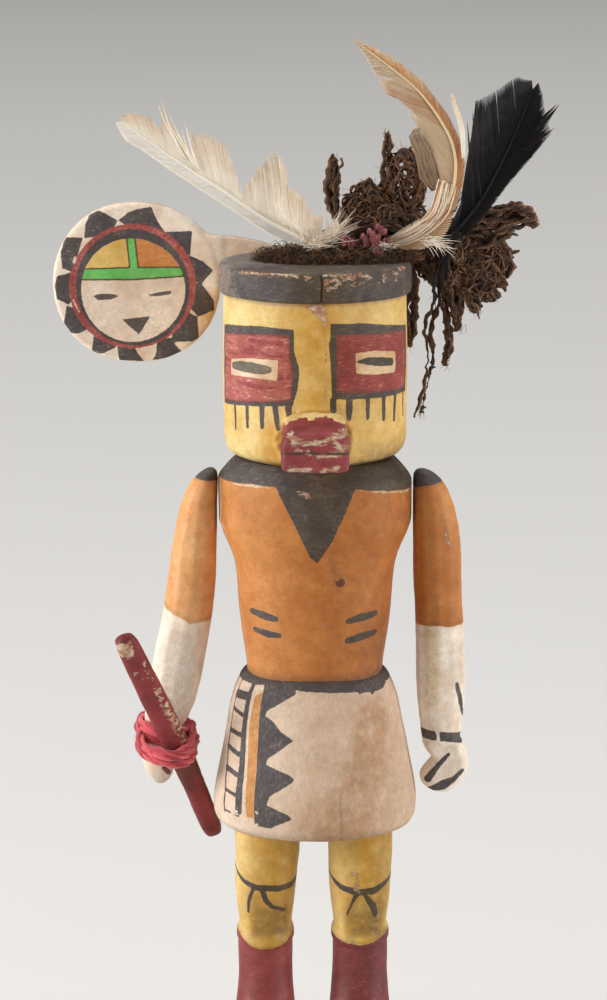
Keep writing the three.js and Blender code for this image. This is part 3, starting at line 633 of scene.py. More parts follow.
def torso():
    rows = [(WAIST - 2, 21.2, 20.9), (138, 22, 21.5), (152, 24, 23.1), (168, 25.4, 24.4), (172, 26.4, 24.9),
            (176, 28, 25.4), (180, 29.7, 25.9), (184, 30.8, 26.2), (196, 30.9, 26.2), (197.2, 30.5, 26),
            (199.4, 28.9, 25), (202.6, 25.9, 22.9), (SHOULDER + 0.3, 24.6, 22), (SHOULDER + 0.6, 15, 14)]
    p, _ = loft([(z, 0, 0, rx, ry, 2.25) for z, rx, ry in rows], 0.82 * DETAIL)
    x, y, z = p[..., 0], p[..., 1], p[..., 2]
    front = y < 4
    black = np.where(front, in_polygon(x, z, YOKE), z - 195.4)
    black = any_of(black, only(front, strokes(x, z, BELLY_DASHES)))
    white = only(front, strokes(x, z, [
        ([(-26, 197.1), (-20, 197.5), (-14, 197.3)], [0.1, 0.42, 0.2]),
        ([(14, 196.4), (20, 195.5), (29.5, 194)], [0.12, 0.4, 0.4]),
        ([(-30.2, 196), (-30.2, 184), (-27, 176)], [0.1, 0.15, 0.0])]))
    chip = only(front, strokes(x, z, [
        ([(-5.2, 196), (-3, 195.4), (-0.8, 194.6)], [0.3, 0.7, 0.3]),
        ([(-3.1, 187.9), (-2.9, 187.7)], 0.4),
        ([(1, 152.6), (4, 152.4)], [0, 0.1]),
        ([(28, 186), (28.4, 182)], 0.0)]))
    soft = bump(in_stroke(x, z, [(5, 176), (5.6, 171), (7.4, 167)], [0.6, 1.6, 2.6]), 1.6, 1.6)
    soft = only(front & (np.hypot(x - 6, z - 170) < 9), soft, 0)
    knot = [(5.4, 168.6), (6.2, 167), (7.7, 166.5), (8.2, 166.7)]
    knot = only(front, in_stroke(x, z, knot, [0.2, 0.6, 1.5, 1.7]))
    neck = ease(198.5, 203.4, z)
    waist = ease(137.5, 134, z)
    arms = ease(27.5, 30.6, np.abs(x)) * ease(178, 186, z) * ease(202, 198, z)
    marks = {
        "black": black, "white": white, "knot": knot - 0.35, "chip": chip,
        # Lighter on the left, darker towards the middle and right of the front: painted shade for the key
        # lamp on the left.
        "ochre_and_shade": 0.9 * ease(-20, 4, x) * ease(14, 2, y) + 0.1,
        # Painted shade under the head, at the waist, where the arms meet the body and low on the right; a
        # smear round the knot.
        "grime_and_shade": 0.55 * neck * (black < 0) + 0.4 * waist + 0.5 * arms + 0.3 * soft
        + 0.35 * ease(10, 22, x) * ease(164, 144, z) + 0.12 * ease(-4, 8, x) * ease(14, 2, y),
    }
    layers = [("knot", rgb(134, 78, 46), rgb(108, 60, 38), 0.0), ("black", *BLACK, 0.2),
              ("white", rgb(236, 222, 200), PRIMER, 0.3)]
    paint = painted("body_paint", ORANGE, layers, brush=(3, 3, 1.4), grime_and_shade="grime_and_shade", chips="chip", rough=0.62,
                    tint=("ochre_and_shade", rgb(226, 202, 146)), stain=0.3)

    def push(q):
        return dents(q, 0.2) + 0.05 * ease(0, 0.3, black) + 0.35 * ease(-0.2, 1.2, knot)

    return carved_grid("torso", p, push, marks, paint, "figure_paint", "figure")


# ---- Figure: kilt --------------------------------------------------------------------------------

KILT_UNIT = 28  # painted features are at (angle from the front in radians times this, height)
BELT_EDGE = [(-88, 131.9), (-60, 132), (-37, 131.7), (-7.6, 131.7), (3.6, 131), (16.4, 130.5),
             (16.8, 129.7), (18, 130.1), (21.8, 129.9), (22.6, 128.9), (24, 129.8), (30.2, 130.1),
             (34.4, 131.6), (88, 131.9)]
LADDER_LINE = [(-36.6, 132), (-36, 127), (-35.6, 121.9), (-34.7, 112.4), (-33, 105.5), (-31.3, 96.2),
               (-30.6, 90.4)]
LADDER_EDGE = [(-26.4, 132), (-26.7, 127), (-26.1, 117), (-24.8, 106), (-23.6, 92.2)]
# Rungs between them: height at the outer end, height at the inner end, half thickness.
RUNGS = [(127.4, 127.8, 1.3), (122.9, 121.6, 0.65), (115.9, 115.4, 0.75), (110.8, 109, 0.8),
         (104.2, 102.6, 0.85), (97.4, 96.4, 0.55), (90.9, 90.2, 0.35)]
STRIPE = [(-23.7, 128.4), (-22.4, 129.9), (-20.6, 129.9), (-20.2, 126.9), (-19.8, 119.9), (-18.8, 108.2),
          (-17.8, 90.7), (-20.5, 90.4), (-22.5, 107.6), (-23.9, 119.3)]
TEETH = [(-20.6, 132.5), (-20.2, 126.9), (-19.8, 119.9), (-18.8, 108.2), (-17.7, 88.4), (-13, 87.9),
         (-6.2, 91.6), (-7.7, 92.9), (-13.8, 95.4), (-13.3, 98.1), (-6.4, 103.2), (-6.1, 104.2),
         (-7.7, 105.4), (-15.2, 108), (-15.1, 109.6), (-6.9, 116.2), (-11, 118.5), (-14, 121.5),
         (-17.6, 123), (-17.3, 124.5), (-7, 130.6), (-7.6, 132.5)]


def kilt():
    rows = [(HEM, 27.8), (HEM + 0.6, 29.9), (HEM + 2.2, 31.6), (HEM + 5, 32.5), (92, 32.6), (97, 32),
            (106, 30.3), (115, 28.6), (123.5, 27), (128, 25.7), (131.5, 24.2), (WAIST - 0.7, 23),
            (WAIST, 22)]
    p, angle = loft([(z, 0, 0, r, 0.97 * r) for z, r in rows], 0.68 * DETAIL)
    a = np.broadcast_to(np.radians(angle) * KILT_UNIT, p.shape[:2])
    z = p[..., 2]
    belt = z - np.interp(a, *zip(*BELT_EDGE))
    rungs = []
    for outer, inner, half in RUNGS:
        left = np.interp(-outer, [-h for _, h in LADDER_LINE], [s for s, _ in LADDER_LINE])
        right = np.interp(-inner, [-h for _, h in LADDER_EDGE], [s for s, _ in LADDER_EDGE])
        rungs.append(in_stroke(a, z, [(left, outer), (right, inner)], half))
    black = any_of(belt, in_stroke(a, z, LADDER_LINE, 0.42), in_polygon(a, z, TEETH), *rungs,
                   in_stroke(a, z, LADDER_EDGE, [1, 1.2, 1.25, 1.3, 1.4]))
    stripe = in_polygon(a, z, STRIPE)
    cream = any_of(in_polygon(a, z, [(-24.6, 131.9), (-20.9, 132.1), (-20.3, 130.3), (-23.9, 128.3)]),
                   in_stroke(a, z, [(-17.4, 88.4), (-16.8, 88.7)], 0.4),
                   in_stroke(a, z, [(-17.2, 92.6), (-16.6, 92.4)], 0.4),
                   in_stroke(a, z, [(-25.5, 91.3), (-23.4, 91.8)], 0.3))
    fold = bump(a - 0.28 * (z - 108), 17, 7) * ease(96, 104, z) * ease(132, 122, z)
    low = bump(a, 8, 15) * ease(104, 92, z)
    split = ease(0.5, 0.05, np.abs(a - 7.1 - 0.35 * noise(p, 2.5, 5))) * ease(102, 97, z)
    hem = ease(87, 84, z)
    marks = {
        "black": black, "stripe": stripe, "cream": cream,
        # A stain, and painted shade: the soft fold on the right, the lower front and the right side away
        # from the key lamp.
        "brown": np.clip(0.95 * fold + 0.6 * low + 0.45 * ease(-14, 2, a) * ease(74, 36, a), 0, 1),
        # Darker towards the hem; painted shade in the split and at the top under the body.
        "grime_and_shade": 0.25 * hem + 0.35 * split + 0.35 * ease(131, 134, z),
    }
    layers = [("black", *BLACK, 0.2), ("stripe", rgb(196, 134, 72), rgb(212, 158, 100), 0.2),
              ("cream", *CREAM, 0.2)]
    ground = (rgb(216, 191, 166), rgb(230, 208, 186))
    paint = painted("kilt_paint", ground, layers, brush=(1.2, 1.2, 3), grime_and_shade="grime_and_shade", rough=0.75,
                    tint=("brown", rgb(208, 182, 156)), stain=0.1)

    def push(q):
        return dents(q, 0.2) - 0.2 * split + 0.05 * ease(0, 0.3, black)

    return carved_grid("kilt", p, push, marks, paint, "figure_paint", "figure")


# ---- Figure: legs --------------------------------------------------------------------------------

LEG_SQUARE = 2.15  # how square a leg's section is: 2 would be an ellipse
LEG_UNIT = 10  # painted features are at (angle from the front in radians times this, height)
GARTERS = {
    -1: [([(-16, 70.6), (-12.2, 68.3), (-7.5, 65.3), (-2.5, 63.7), (4.1, 63.3), (9.8, 63.8), (13.4, 65.2),
           (17, 67.5)], [0.4, 0.5, 0.75, 1.0, 1.05, 1.0, 0.8, 0.5]),
         ([(-3.9, 63), (-5.7, 58.9), (-6.2, 55.3)], [0.7, 0.65, 0.6]),
         ([(-0.9, 63), (0.2, 59.2), (2.2, 57.2), (7.1, 55.7)], [0.8, 0.8, 0.7, 0.55])],
    1: [([(-15, 68), (-11.5, 66.3), (-6.3, 63.5), (-0.5, 62.1), (4.3, 62.5), (9.6, 64.7), (13.2, 66.2),
          (17, 68)], [0.4, 0.6, 1.0, 1.15, 1.2, 0.9, 0.6, 0.4]),
        ([(-0.9, 61.6), (-2.4, 58.6), (-4.6, 54.4)], [0.8, 0.5, 0.45]),
        ([(1.4, 61.2), (4.5, 57), (5.6, 54.4)], [0.6, 1.35, 1.1])],
}
CUFF_EDGE = {
    -1: [(-31.4, 49), (-16, 48.6), (-11, 47.4), (-7.6, 45.4), (-4.1, 43.4), (-1.5, 42.9), (2.2, 43),
         (5.7, 43.7), (9.8, 46), (14, 48), (31.4, 49)],
    1: [(-31.4, 48.6), (-15, 47.6), (-9, 46.2), (-5, 45), (-0.5, 44.4), (4.4, 45), (8.6, 46.6), (14, 48),
        (31.4, 48.6)],
}


def leg(side):
    x = -16 if side < 0 else 14.6
    lean = 0.7 if side < 0 else 0.2
    boot_rows = [(BASE_TOP, -7, 9.3, 15.8, 0), (13.2, -7, 10.1, 16.7, 0), (16.5, -6.8, 10.3, 16.6, 0),
                 (19.5, -5.4, 10, 14.6, 0), (23, -2.8, 9.7, 11.8, 0), (27, -0.8, 9.3, 9.9, 0),
                 (36, 0, 8.8, 9.1, 0), (45, 0, 8.8, 9, 2.3), (46.4, 0, 9.3, 9.5, 2.6),
                 (48, 0, 9.2, 9.4, 2.4), (50.4, 0, 8.5, 8.8, 1.6)]
    shin_rows = [(57, 0, 9.3, 9.6), (64, 0, 9.9, 10.2), (76, lean, 10.4, 10.5), (HEM + 2, lean, 10.5, 10.5)]
    rows = [(z, x, y, rx, ry, LEG_SQUARE, tilt) for z, y, rx, ry, tilt in boot_rows]
    rows += [(z, x + shift, 0, rx, ry, LEG_SQUARE) for z, shift, rx, ry in shin_rows]
    p, angle = loft(rows, 0.66 * DETAIL)
    a = np.broadcast_to(np.radians(angle) * LEG_UNIT, p.shape[:2])
    z = p[..., 2]
    boot = np.interp(a, *zip(*CUFF_EDGE[side])) - z
    black = strokes(a, z, GARTERS[side])
    sole = 15.6 - z
    band = 0.9 - np.abs(z - 66.5)
    black = np.where(np.abs(a) > 16, band - 0.3, black)
    scraped = strokes(a, z, [
        ([(-2.6, 68.2), (-1, 68.2), (-0.6, 66), (-1.2, 63.5), (0, 61.5)], [0.3, 0.3, 0.2, 0.7, 0.2]),
        ([(-4.6, 45.9), (-2.2, 45.3)], 0.3)])
    shin = ease(-8, -2, a) * ease(12, 5, a) * ease(45.5, 48.5, z) * ease(64, 53, z)
    turned = ease(2, 8, a) * ease(18, 13, a) * (boot < 0)
    marks = {
        "black": black, "boot": boot, "chip": only(side > 0, scraped), "sole": sole,
        # Browner on the shin, and on the front and right side a painted shade.
        "ochre_and_shade": np.clip(ease(-12, 3, a) * ease(16, 10, a) + shin, 0, 1) * (boot < 0.2),
        # Darker on the shin; painted shade on the leg's right side, just above the boot's top edge and under
        # the kilt's hem.
        "grime_and_shade": 0.52 * shin + 0.3 * turned + 0.35 * bump(boot, -0.3, 0.5) + 0.4 * ease(80, 84, z),
    }
    # The boot towards the key lamp is a lighter red than the other: painted light.
    leather = (rgb(136, 54, 54), rgb(154, 68, 66)) if side < 0 else (rgb(108, 42, 42), rgb(130, 54, 52))
    layers = [("boot", *leather, 0.15), ("sole", rgb(96, 44, 40), rgb(120, 60, 52), 0.2),
              ("black", *BLACK, 0.3)]
    ground = (rgb(220, 180, 98), rgb(234, 206, 134))
    paint = painted("leg_paint" + ("_right" if side < 0 else "_left"), ground, layers, brush=(3, 3, 1.2),
                    grime_and_shade="grime_and_shade", chips="chip", rough=0.58, tint=("ochre_and_shade", rgb(222, 200, 122)))

    def push(q):
        return dents(q, 0.18) + 0.05 * ease(0, 0.3, black)

    name = "right_leg" if side < 0 else "left_leg"
    return carved_grid(name, p, push, marks, paint, "figure_paint", "figure")


# ---- Snout ---------------------------------------------------------------------------------------

SNOUT_WEAR = [
    ([(-7.6, 217), (-6.4, 215), (-3, 214.9), (2, 215.4), (6, 216.6), (9, 217.4)],
     [0.9, 1.2, 0.7, 0.5, 0.7, 1]),
    ([(6.4, 214.8), (9, 213.6), (8.8, 212.4)], [0.8, 1.0, 0.5]),
    ([(0.8, 210.6), (4, 210.9), (8.6, 211.6)], [0.4, 0.6, 0.5]),
    ([(-8, 206.6), (-5, 206), (-2, 206.4)], [0.5, 0.9, 0.4]),
    ([(2.4, 206.2), (6, 206.8), (8, 207.6)], [0.4, 0.9, 0.4]),
    ([(-5.6, 213.2), (-4.6, 212.4)], 0.5),
    ([(-2, 212.3), (-1.6, 211.8)], 0.45),
]


def snout():
    piece = remeshed("mask_snout", "snout", 0.38, 4)
    p = points_of(piece)
    x, y, z = p.T
    worn = strokes(x, z, SNOUT_WEAR) + 0.5 * noise(p * (0.5, 0.5, 1.2), 1.3, 3) + 0.25
    bead = in_stroke(x, z, [(-9.6, 219.6), (-6, 221.8), (0, 222.4), (6, 221.8), (9.8, 219.4)],
                     [0.5, 0.9, 1.2, 1, 0.6]) + 0.7 * noise(p, 1.6, 4)
    bead = only(y > -37.5, bead)
    # Painted shade in the mouth slit.
    slit = ease(0.75, 0.2, np.abs(z - 211.6 - 0.15 * noise(p, 3, 6))) * (y < -38)
    ridges = 0.16 * noise(p * (0.25, 0.25, 1.3), 1.5, 2)
    push_out(piece, 0.14 * noise(p, 5, 1) + ridges - 0.1 * ease(0, 0.3, worn) + 0.35 * ease(-0.3, 0.5, bead))
    mark_all(piece, {"worn": worn, "bead": bead, "grime_and_shade": slit})
    ground = (rgb(114, 36, 42), rgb(156, 64, 66))
    paint = painted("snout_paint", ground, [("bead", *YELLOW, 0.0)], brush=(4, 4, 0.8), wobble=0.5,
                    chips="worn", chip_grain=(3.4, 3.4, 0.7), grime_and_shade="grime_and_shade", rough=0.58)
    return dress(piece, paint, "red_paint", "snout")


# ---- Arms ----------------------------------------------------------------------------------------

HAND_LINES = [
    ([(45.6, 130), (46.4, 126), (47.6, 119)], [0.6, 0.75, 0.4]),
    ([(43, 106.8), (40.3, 104), (36.4, 98.8)], [0.6, 0.75, 1.2]),
    ([(37, 95), (41, 96.6), (44.6, 98.6), (47.6, 101.6)], [1.0, 1.6, 0.9, 0.6]),
]


def arm(side):
    node = "right_arm" if side < 0 else "left_arm"
    piece = remeshed("whittled_" + node, node, 0.62, 9)
    p = points_of(piece)
    x, y, z = p.T
    across = np.abs(x)
    sway = 0.5 * noise(p * (1, 1, 0.2), 4, 9)
    if side < 0:
        cap = z - (196 + 0.1 * (across - 33))
        fore = np.interp(x, [-48, -44, -40, -33], [154.6, 152.2, 149.8, 150.2]) + sway - z
        black = any_of(cap, in_stroke(x, z, [(-49.8, 105), (-48.2, 103.4)], [0.5, 0.8]))
        red = in_stroke(x, z, [(-48.6, 103), (-47, 101.4)], [0.7, 0.8])
        bare = np.full(z.shape, ABSENT)
        brown = 0.1 * (fore < 0)
        # Darker below 104 mm, on the hand.
        darker_low = 0.35 * ease(104, 98, z)
    else:
        cap = z - (193.7 + 0.18 * (across - 31))
        fore = 149.2 + sway - z
        wristband = 1.6 - np.abs(z - 112.7 + 0.12 * (x - 40))
        black = any_of(cap, wristband, strokes(x, z, HAND_LINES))
        black = np.where((y > 3) & (z < 108), -2, black)
        gap = in_stroke(x, z, [(39.2, 115), (39.8, 111.6)], 0.6)
        black = np.where(gap > 0, -gap, black)
        red = np.full(z.shape, ABSENT)
        bare = only(y < 2, in_stroke(x, z, [(40.4, 185), (41.2, 181), (42.8, 175.4)], [0.35, 0.25, 0.4]))
        wash = ease(3.2, 1, np.abs(x - 37.4)) * ease(120, 124, z) * (fore > 1) * (y < 0)
        # On the upper arm the brown fades out towards the shoulder, leaving its top lighter: a painted
        # highlight.
        brown = np.clip(0.6 * wash + 0.55 * ease(190, 164, z) * (fore < 0), 0, 1)
        darker_low = 0
    push_out(piece, dents(p, 0.2) + 0.04 * ease(0, 0.3, black))
    smear = ease(0.05, 0.5, noise(p * (1, 1, 0.4), 9, 7)) * (fore > 2)
    mark_all(piece, {
        "fore": fore, "black": black, "white": bare, "red": red, "brown": brown,
        "grime_and_shade": 0.2 * smear + 0.3 * ease(1.5, 0, np.abs(cap)) * (cap < 0) + 0.3 * bump(fore, -0.8, 0.9)
        + darker_low,
    })
    layers = [("fore", rgb(246, 229, 208), rgb(252, 241, 226), 0.1), ("red", *RED, 0.3),
              ("black", *BLACK, 0.3)]
    # The right arm's orange is lighter than the left arm's ORANGE: a painted highlight on the arm towards
    # the key lamp.
    ground = (rgb(234, 164, 100), rgb(248, 194, 136)) if side < 0 else ORANGE
    paint = painted(node + "_paint", ground, layers, brush=(1.6, 1.6, 2.4), grime_and_shade="grime_and_shade", chips="white",
                    rough=0.6, tint=("brown", rgb(226, 202, 150)))
    return dress(piece, paint, "arm_paint", node)


# ---- Sun tablet ----------------------------------------------------------------------------------

SUN = (-58.8, 254.4)
FACE = (-58.7, 253.1)
# Black rays round the red ring, which covers their feet.
RAYS = [
    [(-72.4, 278.2), (-69.5, 278.9), (-67.7, 278.2), (-63.5, 275.7), (-66, 271), (-74.3, 270),
     (-73.9, 274.2)],
    [(-63.3, 275.8), (-60, 278.4), (-56.7, 279.5), (-52.7, 280.2), (-50.6, 275.3), (-47.6, 271), (-58, 272)],
    [(-48.4, 272), (-39.5, 272.3), (-39.9, 268.3), (-40.2, 264), (-45, 266)],
    [(-41, 264.6), (-36.3, 262.6), (-32.8, 259.6), (-36.6, 255.2), (-40, 256)],
    [(-40, 255.4), (-36.6, 255.2), (-34.2, 252.1), (-32.7, 249.9), (-32.4, 246.7), (-37.5, 244.5),
     (-41, 248)],
    [(-41, 246), (-37.9, 244.3), (-37.5, 237.3), (-39.7, 236.4), (-46.4, 236.2), (-46, 240)],
    [(-46.4, 237.6), (-46, 236.3), (-42.9, 232.8), (-47.1, 230.8), (-52.4, 230.2), (-51.3, 232.6),
     (-51, 237)],
    [(-64, 236.6), (-59.2, 235.9), (-57, 232.2), (-55.2, 229.8), (-63.3, 230.2)],
    [(-71.2, 239.4), (-66, 238), (-64.3, 234.5), (-68, 232.6), (-72.4, 231.9)],
    [(-80.2, 248), (-76, 247), (-73.6, 240.2), (-76.4, 238.9), (-79.7, 239.1), (-81.1, 242.4)],
    [(-78, 258.9), (-79.5, 258.7), (-83.2, 257.6), (-83.8, 254.3), (-83.3, 250.2), (-79.4, 248.4),
     (-78, 250)],
    [(-74.7, 270.2), (-80.4, 270.3), (-82, 265.7), (-81.4, 260.2), (-78, 259), (-76, 266)],
]


# The small face: the green bands, and its eyes and mouth.
BROW = [(-78, 259.6), (-58.4, 260.2), (-40, 260.3), (-40, 258), (-58.4, 256.8), (-78, 256.8)]
NOSE_BAR = [(-60.7, 273), (-58.6, 273), (-57.1, 259.6), (-59.3, 259.6)]
FEATURES = [
    [(-71.4, 251.1), (-70.1, 251.8), (-66.4, 252), (-62.9, 251.3), (-65.7, 250.1), (-69.9, 249.8)],
    [(-54.2, 251.5), (-50.3, 252.4), (-46.6, 253), (-46, 252.3), (-47, 251.7), (-50.3, 251.2),
     (-53.2, 251.1)],
    [(-62.4, 243.6), (-53.2, 244.6), (-56.8, 238.6)],
]
BROW_LINE = 259.2
MIDLINE = -59
TABLET_FACE = 26.3  # what lies nearer the front than this is the board's painted side


def sun_tablet():
    piece = remeshed("sun_board", "sun_tablet", 0.55, 3)
    p = points_of(piece)
    x, y, z = p.T
    face = y < TABLET_FACE
    u, v = x - SUN[0], z - SUN[1]
    way = np.arctan2(v, u)
    rays = polygons(x, z, RAYS)
    disc = 20.35 + 0.2 * np.sin(way * 2 + 0.5) - np.hypot(u, v)
    inner = 18.6 - 0.4 * np.sin(way * 2 + 0.9) - np.hypot(u, v + 0.4)
    ground = 16.8 + 0.15 * np.sin(way * 3 + 1) - np.hypot(x - FACE[0], z - FACE[1])
    bands = polygons(x, z, [BROW, NOSE_BAR])
    forehead = np.minimum(ground, z - BROW_LINE)
    masks = {
        "rays": rays, "red": disc, "ring": inner, "ground": ground,
        "yellow": np.minimum(forehead, MIDLINE - x),
        "orange": np.minimum(forehead, x - MIDLINE),
        "line": np.minimum(bands + 0.55, ground + 0.2),
        "green": np.minimum(bands, ground),
        "features": polygons(x, z, FEATURES),
        "scuff": strokes(x, z, [([(-77.6, 262.2), (-77.2, 263.6)], 0.5), ([(-78, 250), (-76, 246)], 0.3)]),
    }
    mark_all(piece, {key: only(face, mask) for key, mask in masks.items()})
    edge = ease(25.9, 27.2, y)
    neck = ease(2, 0, np.abs(x + 29.5)) * (y < 27)
    right = ease(-44, -34, x) * ease(-20, -32, x) * ease(256, 250, z)
    mark_all(piece, {
        # Painted shade on the board's edge and back and where the neck meets the head.
        "grime_and_shade": 0.35 * edge + 0.3 * neck,
        "sienna": np.clip(0.8 * right + 0.05 + 0.3 * noise(p, 9, 4), 0, 1) * (disc < 0),
    })
    raised = np.where(face, ease(0, 0.3, rays), 0)
    push_out(piece, 0.12 * noise(p, 12, 1) + 0.05 * noise(p, 3, 2) + 0.04 * raised)
    layers = [
        ("rays", *BLACK, 0.4),
        ("red", rgb(154, 64, 62), rgb(186, 104, 96), 0.5),
        ("ring", *BLACK, 0.15),
        ("ground", rgb(238, 216, 194), rgb(246, 228, 210), 0.0),
        ("yellow", rgb(232, 190, 100), rgb(238, 206, 124), 0.1),
        ("orange", rgb(206, 128, 62), rgb(216, 146, 82), 0.1),
        ("line", rgb(84, 74, 52), rgb(104, 92, 66), 0.1),
        ("green", rgb(104, 196, 92), rgb(128, 212, 116), 0.1),
        ("features", rgb(88, 78, 74), rgb(104, 94, 86), 0.1),
        ("scuff", PRIMER, PRIMER, 0.0),
    ]
    paint = painted("tablet_paint", (rgb(242, 220, 198), rgb(250, 238, 222)), layers, brush=(2, 2, 1.2),
                    wobble=0.3, grime_and_shade="grime_and_shade", rough=0.7, tint=("sienna", rgb(214, 178, 134)))
    return dress(piece, paint, "tablet_paint", "sun_tablet")


# ---- Staff and its yarn --------------------------------------------------------------------------

STAFF_ROUTE = [(-60.9, -31.5, 151.6), (-44.6, -10, 111.4), (-32.7, 15.4, 75.4)]
STAFF_LENGTH = 92
STAFF_SQUARE = 2.7  # how square its section is: 2 would be an ellipse
# Share of the length from the top, half width, half depth.
STAFF_SECTIONS = [(0, 0.3, 0.2), (0.006, 1.7, 1.2), (0.02, 3.1, 2.3), (0.06, 3.7, 2.8), (0.3, 4.1, 3),
                  (0.5, 4.2, 3.1), (0.7, 3.6, 3.1), (0.94, 3.3, 3), (0.985, 2.6, 2.3), (0.997, 1.5, 1.3),
                  (1, 0.3, 0.3)]
# Places where the primer shows: share of the length from the top, place across from -1 to 1, size.
STAFF_CHIPS = [(0.045, -0.55, 3.0), (0.06, 0.0, 2.4), (0.035, 0.25, 1.8), (0.155, -0.35, 0.8),
               (0.185, -0.1, 0.8), (0.13, 0.6, 1.0), (0.2, 0.65, 0.8), (0.25, 0.6, 1.0), (0.29, 0.5, 1.2),
               (0.32, 0.72, 1.1), (0.35, 0.5, 1.3), (0.38, 0.68, 1.4), (0.41, 0.6, 1.2), (0.44, 0.74, 1.3),
               (0.47, 0.8, 1.0), (0.5, 0.85, 0.6)]


def staff():
    rings = int(220 / DETAIL)
    centre, tangent = path(STAFF_ROUTE, rings)
    depthways = unit(FRONT - tangent * (tangent @ FRONT)[:, None])
    sideways = np.cross(depthways, tangent)
    s = np.linspace(0, 1, rings)
    half, depth = hermite([r[0] for r in STAFF_SECTIONS], [r[1:] for r in STAFF_SECTIONS], s, True).T
    a = np.linspace(0, 2 * math.pi, int(44 / DETAIL), endpoint=False)
    u = signed_power(np.cos(a), 2 / STAFF_SQUARE)
    v = signed_power(np.sin(a), 2 / STAFF_SQUARE)
    p = (centre[:, None] + depthways[:, None] * (depth[:, None] * u)[..., None]
         + sideways[:, None] * (half[:, None] * v)[..., None])
    s2 = np.broadcast_to(s[:, None], p.shape[:2])
    across = np.broadcast_to(v, p.shape[:2])
    facing = np.broadcast_to(u, p.shape[:2]) > -0.3
    chip = any_of(*[size - np.hypot((s2 - where) * STAFF_LENGTH, (across - place) * 4)
                    for where, place, size in STAFF_CHIPS])
    dust = 0.9 - np.abs(across - 0.6) / 0.34 - 2.6 * np.abs(s2 - 0.34) + 1.5 * noise(p, 0.7, 14)
    chip = any_of(chip - 0.25, only((s2 > 0.12) & (s2 < 0.52), dust - 0.7, -3))
    chip = only(facing, chip + 0.8 * noise(p, 1.1, 4), -3)
    normals = grid_normals(p)
    halfway = rings // 2
    if (normals[halfway] * (p[halfway] - centre[halfway])).sum(-1).mean() < 0:
        normals = -normals
    p = p + normals * (0.14 * noise(p, 7, 1) + 0.07 * noise(p, 2, 2) - 0.08 * ease(0, 0.3, chip))[..., None]
    # Painted shade where the hand and the yarn hold the staff.
    grime_and_shade = 0.55 * ease(0.5, 0.62, s2) * ease(0.75, 0.6, s2)
    piece = mesh("painted_staff", p.reshape(-1, 3), tube_faces(*p.shape[:2]), {"chip": chip, "grime_and_shade": grime_and_shade})
    paint = painted("staff_paint", (rgb(106, 26, 28), rgb(146, 46, 50)), [], brush=(1.5, 1.5, 5),
                    chips="chip", grime_and_shade="grime_and_shade", rough=0.6)
    return dress(piece, paint, "red_paint", "staff")


def fibre_paint(name, dark, light, sheen):
    """Thread or hair: each strand wanders between two colours."""
    g = Graph(name)
    tone = g.plus(g.times(g.mark("tone"), 0.7), g.times(g.noise(1.2, 3, 0.6), 0.5))
    colour = g.mix(g.step(tone, 0.25, 0.95), dark, light)
    return g.finish(colour, 0.85, g.noise(0.25, 3, 0.7), 0.3, Sheen_Weight=sheen, Sheen_Roughness=0.5)


def yarn(name, routes, radius, twist, hair, material, slot, *nodes):
    """Soft yarn along each route: three plies laid round each other once every twist mm, with fuzz."""
    rng = np.random.default_rng(5)
    stations = int(80 / DETAIL)
    centres, sides, ups = [], [], []
    for index, route in enumerate(routes):
        c, t = path(route, stations)
        n = unit(np.cross(t, np.array([0.2, 0.3, 1.0])))
        b = np.cross(t, n)
        total = np.linalg.norm(np.diff(c, axis=0), axis=1).sum()
        turn = np.linspace(0, 2 * math.pi * total / twist, stations)
        for ply in range(3):
            phase = (turn + 2 * math.pi * ply / 3 + index)[:, None]
            centres.append(c + 0.42 * radius * (n * np.cos(phase) + b * np.sin(phase)))
            sides.append(n)
            ups.append(b)
    count = len(centres)
    half = 0.62 * radius * (1 + 0.08 * rng.normal(size=(count, 1))) * np.ones(stations)
    half[:, [0, -1]] = 0.05
    centres, sides, ups = (np.array(v) for v in (centres, sides, ups))
    marks = {"tone": rng.uniform(0, 1, (count, 1, 1))}
    strips(name, centres, sides, ups, half, half, around_circle(7), marks, material, slot, *nodes)
    grow = np.linspace(0, 1, 3)[:, None]
    which = rng.integers(0, count, int(count * hair / DETAIL))
    at = rng.integers(2, stations - 2, len(which))
    n, b = sides[which, at], ups[which, at]
    way = unit(n * rng.normal(size=(len(which), 1)) + b * rng.normal(size=(len(which), 1))
               + 0.4 * rng.normal(size=n.shape))[:, None]
    far = radius * rng.uniform(0.8, 1.4, (len(which), 1, 1))
    hairs = centres[which, at][:, None] + way * grow * far
    hairs = hairs + 0.35 * radius * rng.normal(size=(len(which), 1, 3)) * grow ** 2
    thin = 0.06 * np.linspace(1, 0.3, 3)
    marks = {"tone": rng.uniform(0, 1, (len(which), 1, 1))}
    strips(name + "_fuzz", hairs, n[:, None], b[:, None], thin, thin, WHISKER, marks, material, slot, *nodes)


